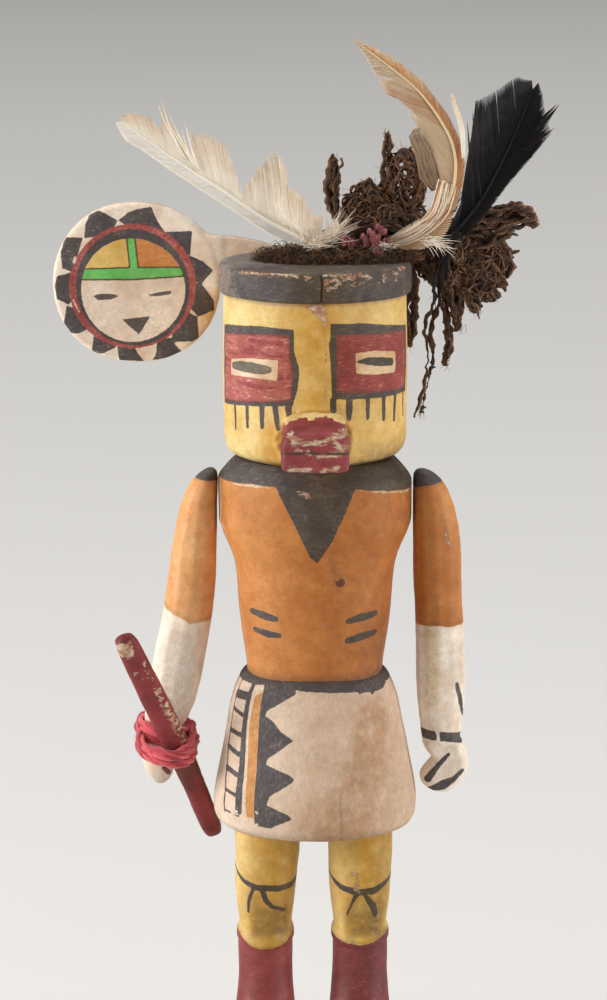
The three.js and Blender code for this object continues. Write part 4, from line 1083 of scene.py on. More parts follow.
def lashing(material):
    """Turns of yarn round the staff and the hand that holds it, and one loose loop."""
    def turn(centre, rx, ry, up, lean_x, lean_y, start, seed):
        rng = np.random.default_rng(seed)
        a = np.radians(np.linspace(start, start + 372, 15))
        wander = 0.35 * rng.normal(size=15)
        r = 1 + 0.035 * rng.normal(size=15)
        return np.stack([centre[0] + rx * r * np.cos(a), centre[1] + ry * r * np.sin(a),
                         centre[2] + up + wander + lean_x * np.cos(a) + lean_y * np.sin(a)], axis=1)

    round_staff = [(-1.5, 0.3), (0.1, -0.5), (1.6, 0.2)]
    round_hand = [(8.3, -2, 0.6), (8.6, -0.3, -0.7), (8.0, 1.3, 0.5), (7.6, 2.5, -0.3)]
    routes = [turn((-47.6, -6.3, 111), 8.9, 9.3, up, -1.2 + tilt, 3.4 + tilt, 80, k)
              for k, (up, tilt) in enumerate(round_staff)]
    routes += [turn((-48.4, -2.6, 114.2), rx, 6.7, up, -0.6 + tilt, 1.2 - tilt, 60, 10 + k)
               for k, (rx, up, tilt) in enumerate(round_hand)]
    routes.append([(-56.4, -8, 110), (-55, -12.4, 109.6), (-50, -14.8, 110.2), (-45.6, -15.6, 109.2),
                   (-41, -13, 111), (-39.2, -8, 114), (-39.6, -2, 116.8)])
    yarn("lashing_yarn", routes, 1.25, 15, 50, material, "red_yarn", "staff_lashing")


# Middles and sizes of the tufts on the crest.
TUFTS = [(9.4, -1, 272.6, 1.5), (11.6, -0.4, 272.1, 1.4), (16.4, -1.2, 273, 1.7), (19.8, -4, 269, 1.1),
         (18.6, -1.6, 274.6, 1.9), (20.9, -0.8, 276.2, 1.5), (18.8, -2, 272.4, 1.4)]


def tie(material):
    """The yarn round the tan feather's foot, and loose tufts of it on the crest."""
    points, tangents = path(TAN["shaft"], 200)
    c, t = points[6], tangents[6]
    n = unit(np.cross(t, [0, 0, 1.0]))
    b = np.cross(t, n)
    a = np.linspace(0, 4.2 * math.pi, 26)[:, None]
    coil = c + (t * np.linspace(-1.1, 1.1, 26)[:, None]) + 1.9 * (n * np.cos(a) + b * np.sin(a))
    tufts = []
    for x, y, z, size in TUFTS:
        w = np.linspace(0, 7 * math.pi, 24)
        tufts.append(np.stack([x + size * np.cos(w) * np.cos(0.37 * w), y + size * np.sin(w) * 0.8,
                               z + size * np.cos(1.3 * w + 1) * np.sin(0.61 * w + 0.5)], axis=1))
    yarn("crest_yarn", [coil, *tufts], 0.64, 5, 110, material, "red_yarn", "feather_tie")


# ---- Feathers ------------------------------------------------------------------------------------

# A vane is the side of the shaft (1 is to the right, looking at the front with the tip up), the outline of
# its barb ends from base to tip in (x, z), and the barbs' angle off the shaft at base and tip. Without
# angles the barbs fan out evenly along the outline.
WHITE = {
    "shaft": [(1.4, 0.5, 269.6), (-5, 0, 273.4), (-15.6, -0.7, 279.4), (-29.2, -2, 288.8),
              (-44.3, -3.6, 298.9), (-54.7, -4.8, 306.4), (-61, -5.6, 310.8)],
    "vanes": [
        (1, [(3.6, 271.6), (10.6, 281), (5.4, 280.2), (-0.6, 280.8), (-3.8, 287.4), (-8.8, 290.9),
             (-8.4, 296.2), (-12.7, 301.5), (-17, 297.6), (-21.6, 291.4), (-22.9, 286.4), (-24.6, 293),
             (-27.1, 300.9), (-29.2, 304.4), (-34, 306.8), (-40, 308.6), (-37.6, 297.4), (-46, 312),
             (-42, 301.6), (-49, 316), (-48.4, 307.4), (-52.1, 312.5), (-56.7, 314.1),
             (-62, 313.3)], (64, 22)),
        (-1, [(-2, 270.8), (-10.4, 272.7), (-15.6, 275.1), (-31.3, 285.6), (-45.9, 295.3), (-55.8, 302.7),
              (-59.9, 304.8), (-62.8, 310.2), (-62, 313.3)], (26, 26))],
    "lead": 0.0, "curl": 0.004, "barbs": 270, "slot": "white_vane", "node": "white_feather",
}
TAN = {
    "shaft": [(20.2, 4.4, 270), (27.6, 3.7, 271.7), (33.7, 2.8, 274.9), (41.2, 1.2, 283.1),
              (44.3, -0.4, 293), (43.6, -1, 302.7), (39, -2, 311.9), (31.9, -2.7, 321.1),
              (23.3, -3.4, 328.3), (12.8, -4.2, 336.2)],
    "vanes": [
        (1, [(24, 269), (34.7, 269.2), (40.8, 272.8), (43, 277), (44.7, 282.6), (47, 290.4), (47.6, 297.6),
             (46, 305), (41.6, 313.5), (33.8, 323.7), (26.2, 330), (17.7, 334.8), (12, 337)], None),
        (-1, [(21.6, 271.6), (27.6, 276), (34.6, 280), (38.2, 285.6), (39, 292), (37.4, 299.6),
              (33.4, 303.4), (30, 307.4), (32.4, 308.6), (29, 313.6), (31.6, 313), (27, 316.4),
              (25.4, 318.8), (21.6, 319.4), (19.4, 324.2), (24.6, 324.6), (18.4, 325.4), (16.2, 330.4),
              (12, 337)], None)],
    "lead": 0.075, "curl": 0.006, "barbs": 270, "slot": "tan_vane", "node": "tan_feather",
}
DARK = {
    "shaft": [(33.6, 12.6, 268.6), (39.4, 12.8, 270), (46.1, 13, 275.1), (53.7, 13, 284.9),
              (62.2, 13, 301.7), (66.2, 13, 311.4), (69.2, 13, 319.4)],
    "vanes": [
        (1, [(41, 268.6), (49.4, 273), (56.3, 281.3), (61, 288), (66, 293.8), (70.9, 299.4), (75.6, 305.6),
             (74.4, 308.6), (77.6, 315), (73.4, 311.6), (72.4, 318), (70.7, 322.3)], (30, 18)),
        (-1, [(36, 270), (43.8, 277.2), (47.1, 284.4), (48.7, 296.6), (49, 305), (47.9, 313.3),
              (53.5, 316.7), (58, 319.2), (61.6, 322), (64.4, 323.4), (67.4, 322.4),
              (70.7, 322.3)], (40, 26))],
    "lead": 0.0, "curl": 0.003, "barbs": 280, "slot": "black_vane", "node": "black_feather",
}


def reach(outline, x, z, dx, dz):
    """How far a ray in X and Z runs from a point to an outline."""
    nearest = 1e9
    for (x0, z0), (x1, z1) in zip(outline, outline[1:]):
        ex, ez = x1 - x0, z1 - z0
        cross = dx * ez - dz * ex
        if abs(cross) < 1e-9:
            continue
        distance = ((x0 - x) * ez - (z0 - z) * ex) / cross
        share = ((x0 - x) * dz - (z0 - z) * dx) / cross
        if 0 <= share <= 1 and distance > 0.5:
            nearest = min(nearest, distance)
    return nearest if nearest < 1e8 else 0.5


def barb_tips(spec, side, outline, angles, shaft, tangent, across, starts):
    """Where the barb ends of one vane lie, in X, Y and Z."""
    s = starts / (len(shaft) - 1)
    if angles:
        turn = np.radians(angles[0] + (angles[1] - angles[0]) * s)[:, None]
        way = tangent[starts] * np.cos(turn) + side * across[starts] * np.sin(turn)
        far = [reach(outline, x, z, dx, dz) for (x, _, z), (dx, _, dz) in zip(shaft[starts], way)]
        return shaft[starts] + way * np.array(far)[:, None]
    corners = np.array(outline, float)
    length = np.concatenate([[0], np.cumsum(np.linalg.norm(np.diff(corners, axis=0), axis=1))])
    at = length[-1] * np.clip(s + spec["lead"] * np.sin(math.pi * s), 0, 1)
    x = np.interp(at, length, corners[:, 0])
    z = np.interp(at, length, corners[:, 1])
    return np.stack([x, shaft[starts, 1], z], axis=1)


SHAFT_POINTS = 400
QUILL_STATIONS = 60


def feather(name, spec, material, seed):
    """A shaft and two vanes of separate barbs, which lie side by side and part here and there."""
    rng = np.random.default_rng(seed)
    count = int(spec["barbs"] / DETAIL)
    last = SHAFT_POINTS - 1
    shaft, tangent = path(spec["shaft"], SHAFT_POINTS)
    normal = unit(FRONT - tangent * (tangent @ FRONT)[:, None])
    across = np.cross(tangent, normal)
    u = np.linspace(0, 1, 7)
    starts = ((np.arange(count) + 0.5) / count * last).astype(int)
    root, out = shaft[starts], normal[starts]
    parts = {"centre": [], "side": [], "up": [], "half": [], "tone": [], "vane": []}
    for side, outline, angles in spec["vanes"]:
        tips = barb_tips(spec, side, outline, angles, shaft, tangent, across, starts)
        clump = np.cumsum(rng.uniform(size=count) < 0.05)
        lift = 0.12 * rng.normal(size=clump[-1] + 1)[clump]
        shade = rng.uniform(0, 1, clump[-1] + 1)[clump]
        middle = np.array([tips[clump == k].mean(axis=0) for k in range(clump[-1] + 1)])[clump]
        near = np.linalg.norm(tips - middle, axis=1) < 4
        tips = tips + (middle - tips) * np.where(near, 0.1, 0)[:, None]
        tips = tips - (tips - root) * rng.uniform(0, 0.03, count)[:, None]
        far = np.linalg.norm(tips - root, axis=1)
        tips = tips - out * (spec["curl"] * far ** 2)[:, None]
        c = root[:, None] + (tips - root)[:, None] * u[:, None]
        c = c - tangent[starts][:, None] * (0.07 * far[:, None] * u * (1 - u))[..., None]
        rise = lift[:, None] * u ** 2 + 0.03 * rng.normal(size=(count, 1)) * u
        c = c + out[:, None] * (rise * np.minimum(1, far / 8)[:, None])[..., None]
        way = unit(np.gradient(c, axis=1))
        flat = unit(np.cross(out[:, None], way) + 0.16 * out[:, None])
        gap = np.diff(c, axis=0, append=c[-1:] * 2 - c[-2:-1])
        gap = np.linalg.norm(gap - way * (gap * way).sum(-1, keepdims=True), axis=-1)
        half = np.clip(0.62 * gap + 0.03, 0.07, 0.34) * np.interp(u, [0, 0.88, 0.97, 1], [1, 1, 0.7, 0.2])
        parts["centre"].append(c)
        parts["side"].append(flat)
        parts["up"].append(np.cross(way, flat))
        parts["half"].append(half)
        parts["tone"].append(0.6 * shade + 0.4 * rng.uniform(size=count))
        parts["vane"].append(np.full(count, side))
    parts = {key: np.concatenate(value) for key, value in parts.items()}
    marks = {"tone": parts["tone"][:, None, None], "vane": parts["vane"][:, None, None],
             "along": np.tile(starts / last, 2)[:, None, None], "outward": u[None, :, None]}
    strips(name, parts["centre"], parts["side"], parts["up"], parts["half"], 0.05, FLAT_STRIP, marks,
           material, spec["slot"], spec["node"])
    t = np.linspace(0, 1, QUILL_STATIONS)
    quill = np.interp(t, [0, 0.06, 0.3, 0.97, 1], [0.75, 0.7, 0.5, 0.2, 0.05])
    k = np.linspace(0, last, QUILL_STATIONS).astype(int)
    marks = {"tone": 2.0, "vane": 0.0, "along": t[None, :, None], "outward": 0.0}
    strips(name + "_shaft", (shaft[k] + normal[k] * 0.1)[None], across[k], normal[k], quill, quill * 0.8,
           around_circle(8), marks, material, spec["slot"], spec["node"])


def loose_barbs(name, routes, width, material, spec, tone=0.2, along=0.6, outward=None):
    """Single barbs and wisps that stand away from a vane, each through its own points."""
    stations = 9
    c, way = (np.array(v) for v in zip(*[path(route, stations) for route in routes]))
    side = unit(np.cross(way, np.array([0.05, -1, 0.1])))
    u = np.linspace(0, 1, stations)
    half = width * np.interp(u, [0, 0.6, 1], [1, 0.85, 0.12])
    if outward is None:
        outward = u[None, :, None]
    marks = {"tone": tone, "along": along, "vane": 1.0, "outward": outward}
    strips(name, c, side, np.cross(way, side), half, half * 0.3, FLAT_STRIP, marks, material, spec["slot"],
           spec["node"])


def vane_paint(name, inner, outer, shaft, streak, where, rough=0.5, sheen=0.2, gloss=0.5):
    """Feather colours. inner (left of the shaft) and outer each run from the shaft to the barb ends, and the
    streak colour lies over them between two shares of the length."""
    g = Graph(name)
    tone = g.mark("tone")
    wander = g.noise(5, 3, 0.6)
    lean = g.times(g.minus(wander, 0.5), 1.2)
    share = g.step(g.plus(g.mark("outward"), lean), 0.2, 1.0)
    right = g.step(g.mark("vane"), -0.4, 0.4)
    colour = g.mix(share, g.mix(right, inner[0], outer[0]), g.mix(right, inner[1], outer[1]))
    along = g.plus(g.mark("along"), g.times(lean, 0.3))
    zone = g.times(g.step(along, where[0], where[1]), g.step(along, where[3], where[2]))
    zone = g.times(zone, g.step(g.plus(tone, g.times(right, 0.3)), 0.4, 1.0, 0.1, 0.85))
    colour = g.mix(zone, colour, streak)
    place = g.add("ShaderNodeCombineXYZ", None, _0=g.times(g.mark("along"), 160), _1=g.mark("outward"),
                  _2=g.times(g.mark("vane"), 7))
    lines = g.step(g.noise_at(place.outputs[0], 1.0, 3.0, 0.6), 0.35, 0.65, 0.2, 0)
    colour = g.mix(lines, colour, rgb(150, 118, 88), "MULTIPLY")
    colour = g.mix(g.step(tone, 1.4, 1.6), colour, shaft)
    roughness = g.step(wander, 0.3, 0.7, rough - 0.08, rough + 0.08)
    return g.finish(colour, roughness, g.noise(0.15, 2, 0.6), 0.15,
                    Sheen_Weight=sheen, Sheen_Roughness=0.4, Specular_IOR_Level=gloss)


def wisps(seed, start, way, spread, length, count):
    """Routes of short curved hairs that fan out from a place."""
    rng = np.random.default_rng(seed)
    routes = []
    for _ in range(int(count / DETAIL)):
        d = unit(np.array(way, float) + spread * rng.normal(size=3))
        bend = rng.normal(size=3) * 0.22 * length
        far = length * rng.uniform(0.5, 1)
        o = np.array(start, float) + rng.normal(size=3) * (1.4, 0.6, 0.7)
        routes.append([o, o + d * far * 0.5 + bend * 0.2, o + d * far + bend * 0.7])
    return routes


def between(left, right, count, ragged=0.0):
    """Routes that fill the space between two routes of as many points."""
    left, right = np.array(left, float), np.array(right, float)
    rng = np.random.default_rng(7)
    shares = np.linspace(0, 1, int(count / DETAIL))
    return [left + (right - left) * t + ragged * rng.normal(size=left.shape) for t in shares]


WHITE_STRAYS = [
    [(-36.5, 295.2), (-39, 302.4), (-41.1, 311)], [(-36.6, 295.3), (-40, 301.6), (-42.1, 308.4)],
    [(-37, 295.7), (-42, 304.6), (-45.9, 312.9)], [(-37.4, 295.9), (-42.4, 304), (-46.4, 311.4)],
    [(-40.7, 298.9), (-46, 308), (-49.6, 316.3)], [(-40.9, 299), (-45.6, 308.4), (-48.3, 317.4)],
    [(-6, 276), (-11, 284), (-11.6, 291.4)], [(-5, 275.4), (-10, 283), (-9.6, 290)],
    [(-3, 274.4), (-6.4, 280), (-8, 286.6)], [(-8, 277), (-12.6, 285), (-13.4, 289.6)],
]
DARK_STRAYS = [
    [(50.4, 12.6, 281), (50, 12, 292), (49, 11.6, 302), (48.4, 11.6, 309)],
    [(53, 12.6, 284), (51.4, 11.8, 296), (50.6, 11.6, 306), (50, 11.6, 312)],
    [(70, 12.6, 306), (74, 12, 310), (77.6, 12, 314.6)],
    [(66, 12.6, 300), (71, 12, 303), (76, 12, 307)],
]
# Bands of loose barbs: the route along each of their two edges.
STRAY_BAND = ([(46.6, -1.6, 299), (45.6, -2, 309), (43.8, -2.2, 314.6), (42.4, -2.2, 319.9)],
              [(47.2, -1.6, 299), (46.8, -2, 309), (45, -2.2, 314.6), (43.6, -2.2, 319.4)])
LOBE_BAND = ([(37.4, 2, 288.4), (33.6, 1.6, 292.4), (32.6, 1, 296.6), (31.4, 0.6, 301.3), (29.6, 0, 305.4),
              (31.2, -0.4, 308.2)],
             [(39, 1.4, 289), (38.8, 1, 293.1), (37.6, 0.6, 297.4), (35.6, 0.2, 302.4), (33, 0, 306.8),
              (33.4, -0.4, 308.8)])
SWEEP_BAND = ([(44.6, 0.4, 289.6), (41.8, 1.4, 281), (34, 2, 273.6), (21.6, 3, 268.9)],
              [(39.4, -0.4, 292), (36.6, 0.4, 281), (31, 0.6, 277), (24, 1.6, 273)])
HANGING_BAND = ([(44, 12.4, 274), (40, 12.6, 266), (38.4, 12.8, 257), (39, 13, 247.5)],
                [(47, 12.4, 273), (43, 12.6, 266), (41.6, 12.8, 258), (40.6, 13, 249)])


def feathers():
    white = vane_paint("white_vane", (rgb(252, 248, 240), rgb(248, 240, 226)),
                       (rgb(250, 240, 222), rgb(236, 214, 186)), rgb(252, 244, 228), rgb(198, 162, 120),
                       (0.02, 0.0, 0.08, 0.3))
    tan = vane_paint("tan_vane", (rgb(212, 188, 154), rgb(216, 194, 164)),
                     (rgb(204, 154, 100), rgb(226, 196, 156)), rgb(228, 198, 158), rgb(182, 116, 60),
                     (0.12, 0.3, 0.55, 0.9))
    # The lobe is a darker copy of the tan vane's colours: painted shade.
    lobe = vane_paint("tan_lobe", (rgb(176, 154, 126), rgb(190, 170, 140)),
                      (rgb(150, 126, 98), rgb(188, 166, 136)), rgb(190, 170, 140), rgb(140, 112, 84),
                      (0.12, 0.3, 0.9, 1.2))
    # The inner vane greys towards its barb ends: partly the barbs' own grey and partly a painted sheen on
    # the edge towards the key lamp.
    dark = vane_paint("dark_vane", (rgb(10, 9, 11), rgb(56, 53, 58)), (rgb(9, 8, 10), rgb(36, 29, 29)),
                      rgb(18, 16, 18), rgb(9, 8, 10), (0.0, 0.02, 0.6, 0.9), rough=0.5, sheen=0.0, gloss=0.2)
    feather("white_barbs", WHITE, white, 11)
    feather("tan_barbs", TAN, tan, 12)
    feather("dark_barbs", DARK, dark, 13)
    strays = [[(x, -3.4, z) for x, z in route] for route in WHITE_STRAYS]
    loose_barbs("white_strays", strays, 0.34, white, WHITE)
    foot = wisps(21, (2.6, 0.2, 272), (0.75, -0.1, 0.75), 0.3, 13, 70)
    foot += wisps(22, (-4, 0, 273), (0.35, -0.25, 1), 0.3, 9, 30)
    loose_barbs("white_wisps", foot, 0.13, white, WHITE, along=0.1)
    gold = wisps(25, (-2, -0.4, 271), (0.8, -0.3, 0.3), 0.25, 9, 60)
    loose_barbs("white_gold", gold, 0.12, white, WHITE, 0.9, 0.03)
    loose_barbs("tan_stray", between(*STRAY_BAND, 8), 0.28, white, TAN)
    loose_barbs("tan_lobe", between(*LOBE_BAND, 34, 0.12), 0.26, lobe, TAN, 0.5, 0.5)
    sweeps = between(*SWEEP_BAND, 44, 0.35)
    loose_barbs("tan_sweep", sweeps[::3], 0.24, tan, TAN, 0.6, 0.35)
    loose_barbs("pale_sweep", sweeps[1::3] + sweeps[2::3], 0.26, white, TAN, 0.1, 0.9, 0.75)
    foot = wisps(23, (24, 2.2, 270.6), (-1, -0.3, -0.12), 0.2, 8, 50)
    foot += wisps(24, (36, 1.6, 272.4), (0.9, -0.3, -0.2), 0.3, 8, 40)
    loose_barbs("tan_wisps", foot, 0.13, white, TAN, 0.3, 0.9, 0.4)
    loose_barbs("dark_strays", DARK_STRAYS, 0.5, dark, DARK)
    loose_barbs("dark_hanging", between(*HANGING_BAND, 14, 0.5), 0.3, dark, DARK, 0.2, 0.9, 1.0)


# ---- Down and fibre ------------------------------------------------------------------------------

def down(material):
    """Short curled hairs all over the low pad on the brim."""
    rng = np.random.default_rng(31)
    count = int(3900 / DETAIL)
    turn = rng.uniform(0, 2 * math.pi, count)
    far = np.sqrt(rng.uniform(0, 1, count))
    t = np.linspace(0, 1, 5)
    root = np.stack([7 + 26.5 * far * np.cos(turn), 4.4 + 14.6 * far * np.sin(turn),
                     TOP + 0.3 + 4.6 * (1 - far ** 3) * rng.uniform(0, 1, count)], axis=1)
    way = unit(rng.normal(size=(count, 3)) + [0, -0.25, 0.35])
    other = unit(np.cross(way, rng.normal(size=(count, 3))))
    third = np.cross(way, other)
    size = rng.uniform(0.7, 1.8, count)[:, None]
    sweep = t * rng.uniform(2.0, 5.0, count)[:, None]
    centre = (root[:, None] + other[:, None] * (size * np.sin(sweep))[..., None]
              + third[:, None] * (size * (1 - np.cos(sweep)))[..., None]
              + way[:, None] * (t * rng.uniform(0.3, 2.2, count)[:, None])[..., None])
    centre[..., 2] = np.clip(centre[..., 2], TOP + 0.1, TOP + 7.4)
    half = rng.uniform(0.09, 0.2, count)[:, None] * np.linspace(1, 0.4, 5)
    marks = {"tone": rng.uniform(0, 1, (count, 1, 1)) ** 1.5}
    strips("brown_down", centre, other[:, None], third[:, None], half, half, WHISKER, marks, material,
           "brown_fibre", "crown_down")


# The masses of the bundle: centre, then half sizes.
BUNDLE = [(22.5, 15, 273.6, 15.5, 8.4, 10.4), (41, 20, 266, 9, 6, 11), (51, 23, 262, 10.5, 5, 11),
          (17, 15, 281, 8, 5, 8), (28.5, 15, 289, 6.5, 4, 10)]
# Where the fan of ribbons at the bundle's right ends.
FAN = [(66, 281), (70, 277.6), (63, 272.4), (64, 266), (63, 260.6), (61, 254.6), (56.8, 250.6), (51.8, 247),
       (46.6, 244.6)]
STRANDS = [
    [(13, 15, 273), (7.4, 15, 279), (5.8, 14.5, 289), (6.6, 14, 297.5)],
    [(20, 15, 276), (22, 15, 285), (23, 14.6, 295), (22.6, 14.4, 305.6)],
    [(20, 15, 278), (23.4, 15.5, 291), (27, 15.5, 300), (32, 16, 297), (33, 16, 287), (28, 16, 278)],
    [(42, 20, 272), (52, 22, 277.4), (62, 22.5, 279.4), (67.4, 23, 278), (71.6, 24, 274.6)],
    [(46, 22, 268), (57, 24, 269), (62.6, 25, 263), (61.4, 26, 256.4)],
    [(47, 22, 262), (55, 25, 256), (58.4, 26, 250.6)],
    [(44, 22, 262), (50, 26, 252), (52, 27, 245.4)],
    [(41, 22, 262), (45, 26, 249), (47, 27, 239.6)],
    [(40, 22, 262), (42, 26, 246), (43.4, 27, 234), (42, 27, 228)],
    [(36, 22, 262), (40, 28, 250), (37.4, 30, 240), (38.6, 31, 231), (36, 32, 219), (34.4, 32, 211)],
    [(24, 20, 272), (28, 29, 268.6), (32, 33, 260), (32, 35, 246), (31, 36, 233)],
    [(20, 20, 272), (21.5, 30.5, 268.8), (25, 35.6, 260), (26, 37, 244), (24, 37.6, 227)],
    [(16, 20, 271), (14.5, 32, 268.8), (17, 36.6, 260), (18.4, 38, 243), (16.6, 38, 222)],
    [(15, 18, 272), (8, 32.5, 268.8), (8.4, 37, 260), (10, 38.4, 244), (8, 38.4, 231)],
    [(14, 17, 272), (2.4, 32.5, 268.6), (0, 37, 260), (1, 38.4, 247), (-0.6, 38.4, 239)],
]
# Half width of the ribbons on each strand.
STRAND_WIDTHS = [1.7, 1.2, 1.7, 2.4, 1.9, 2.0, 1.8, 1.5, 1.3, 0.9, 1.5, 1.5, 1.4, 1.4, 1.3]


def strand_routes(rng):
    """Each laid strand as loose ribbons: routes of as many points, and half widths."""
    routes = []
    for strand, width in zip(STRANDS, STRAND_WIDTHS):
        base = np.array(strand, float)
        grow = np.linspace(0, 1, len(base))[:, None]
        for _ in range(1 if width < 1 else 3):
            shift = rng.normal(size=3) * 0.7
            route = base + shift + rng.normal(size=base.shape) * 0.7 * grow
            routes.append((route, width * rng.uniform(0.7, 1.05)))
    return routes


def nest_routes(rng):
    """The fan of ribbons at the right, and curled ones all over each mass of the bundle."""
    routes = []
    for x, z in FAN:
        for _ in range(int(9 / DETAIL)):
            start = np.array([43, 21, 271]) + rng.normal(size=3) * (3, 1.4, 3)
            stop = np.array([x, 24, z]) + rng.normal(size=3) * (1.2, 1.4, 1.2)
            bend = rng.normal(size=(2, 3)) * 1.3
            third = start * 0.66 + stop * 0.34 + bend[0] - (0, 2, 0)
            later = start * 0.3 + stop * 0.7 + bend[1] - (0, 1.5, 0)
            routes.append((np.array([start, third, later, stop]), rng.uniform(0.7, 1.3)))
    for x, y, z, rx, ry, rz in BUNDLE:
        for _ in range(int(110 / DETAIL)):
            d = unit(rng.normal(size=3) + np.array([0, -0.35, 0.1]))
            way = unit(np.cross(d, rng.normal(size=3)))
            points = []
            for _ in range(5):
                points.append(np.array([x, y, z]) + d * (rx, ry, rz) * rng.uniform(0.8, 1.08))
                d = unit(d + way * 0.42)
                way = unit(way + 0.7 * rng.normal(size=3) - d * (way @ d))
            points[-1] = points[-1] + d * rng.uniform(-1, 2.2)
            routes.append((np.array(points), 0.38 + 0.62 * rng.random() ** 2))
    return routes


HEAD_CLEARANCE = 31.4


def clear_of_head(c):
    """Moves fibre out of the mask: over the brim's top where it is high, else round its back."""
    far = np.hypot(c[..., 0], c[..., 1])
    within = far < HEAD_CLEARANCE
    low = c[..., 2] < TOP - 1.5
    away = np.where(within & low, HEAD_CLEARANCE / np.maximum(far, 1), 1)
    up = np.where(within & ~low, np.maximum(c[..., 2], TOP + 0.7), c[..., 2])
    return np.stack([c[..., 0] * away, c[..., 1] * away, up], axis=-1)


def matted_core(material):
    """The dense middle of the fibre, crumpled, which the ribbons lie on."""
    piece = remeshed("brown_mat", "fibre_tassel", 0.78, 2)
    p = points_of(piece)
    fold = 1 - 2.6 * np.abs(noise(p, 3.4, 51))
    crease = 1 - 2.6 * np.abs(noise(p * (1, 1, 0.6), 1.6, 52))
    push_out(piece, 0.75 * fold + 0.4 * crease - 0.5)
    mark_all(piece, {
        "tone": 0.5 + 0.5 * noise(p, 5, 53),
        # Lighter on the fold crests: partly the fibre's colour and partly a painted highlight.
        "rim": np.clip(0.12 + 0.3 * fold + 0.25 * crease, 0, 1),
        "across": p[:, 0] + 0.6 * p[:, 2] + 3 * noise(p, 5, 54),
        "run": p[:, 2] - 0.6 * p[:, 0],
    })
    return dress(piece, material, "brown_fibre", "fibre_tassel")


def ribbons(name, routes, stations, rng, material):
    """Crinkled, folded ribbons along routes, with raised edges."""
    stations = int(stations / DETAIL)
    s = np.linspace(0, 1, stations)
    parts = {"centre": [], "side": [], "up": [], "half": [], "run": []}
    for points, width in routes:
        c, t = path(points, stations)
        length = np.linalg.norm(np.diff(c, axis=0), axis=1).sum()
        n = unit(np.cross(t, np.array([0.1, -1, 0.2]) + 0.25 * rng.normal(size=3)))
        roll = (0.8 * np.sin(s * length / 5 + rng.uniform(0, 6)) + 0.5 * np.sin(s * length / 2.1))[:, None]
        side = n * np.cos(roll) + np.cross(t, n) * np.sin(roll)
        up = np.cross(t, side)
        phase = 2 * math.pi * s * length / 3.8 + rng.uniform(0, 6)
        wave = 0.4 * np.sin(phase) * (0.6 + 0.6 * np.sin(0.31 * phase))
        c = c + up * wave[:, None] + side * (0.3 * np.sin(0.7 * phase + 1))[:, None]
        flare = np.interp(s, [0, 0.08, 0.9, 1], [0.6, 1, 0.95, 0.5])
        parts["centre"].append(clear_of_head(c))
        parts["side"].append(side)
        parts["up"].append(up)
        parts["half"].append(width * flare * (1 + 0.16 * np.sin(1.3 * phase)))
        parts["run"].append(s * length)
    parts = {key: np.array(value) for key, value in parts.items()}
    section = [(-1, 0.7), (0, 0), (1, 0.7), (0, -0.9)]
    across = np.array([v for v, _ in section])[None, None, :]
    count = len(routes)
    # rim marks the ribbons' edges, lighter partly by colour and partly as a painted highlight.
    marks = {"tone": rng.uniform(0, 1, (count, 1, 1)), "rim": np.abs(across),
             "across": across * parts["half"][..., None] + 7.3 * np.arange(count)[:, None, None] % 19,
             "run": parts["run"][..., None]}
    strips(name, parts["centre"], parts["side"], parts["up"], parts["half"], 0.3, section, marks, material,
           "brown_fibre", "fibre_tassel")


def loose_hairs(rng, material):
    """Fine hairs that stray from the bundle, and the frayed ends of the strands."""
    routes = []
    for k in range(int(520 / DETAIL)):
        x, y, z, rx, ry, rz = BUNDLE[k % len(BUNDLE)]
        d = unit(rng.normal(size=3) + [0, -0.2, 0.2])
        o = np.array([x, y, z]) + d * (rx, ry, rz) * 0.9
        bend = rng.normal(size=3)
        far = rng.uniform(0.3, 0.8)
        offsets = [d * 0, d * 2 + bend * 1.2, d * 2.6 + bend * 3, d + bend * 4]
        routes.append([o + offset * far for offset in offsets])
    for strand, width in zip(STRANDS, STRAND_WIDTHS):
        end, before = np.array(strand[-1], float), np.array(strand[-2], float)
        d = unit(end - before)
        for _ in range(int(8 / DETAIL)):
            o = end - d * 3 + rng.normal(size=3) * width * 0.4
            routes.append([o, o + d * 2 + rng.normal(size=3) * 0.4, o + d * 3.6 + rng.normal(size=3) * 0.7])
    c = clear_of_head(np.array([path(route, 9)[0] for route in routes]))
    thin = 0.1 * np.linspace(1, 0.4, 9)
    way = unit(np.gradient(c, axis=1))
    side = unit(np.cross(way, [0.1, -1, 0.3]))
    # rim 0.75 gives the hairs most of the lighter edge colour: partly their colour, partly a painted
    # highlight.
    marks = {"tone": rng.uniform(0.2, 1, (len(routes), 1, 1)), "rim": 0.75,
             "across": rng.uniform(0, 9, (len(routes), 1, 1)), "run": 0.0}
    strips("brown_hairs", c, side, np.cross(way, side), thin, thin, WHISKER, marks, material, "brown_fibre",
           "fibre_tassel")


def fibre():
    bark = ribbon_paint()
    rng = np.random.default_rng(41)
    matted_core(bark)
    ribbons("brown_ribbons", strand_routes(rng), 56, rng, bark)
    ribbons("brown_nest", nest_routes(rng), 24, rng, bark)
    loose_hairs(rng, bark)


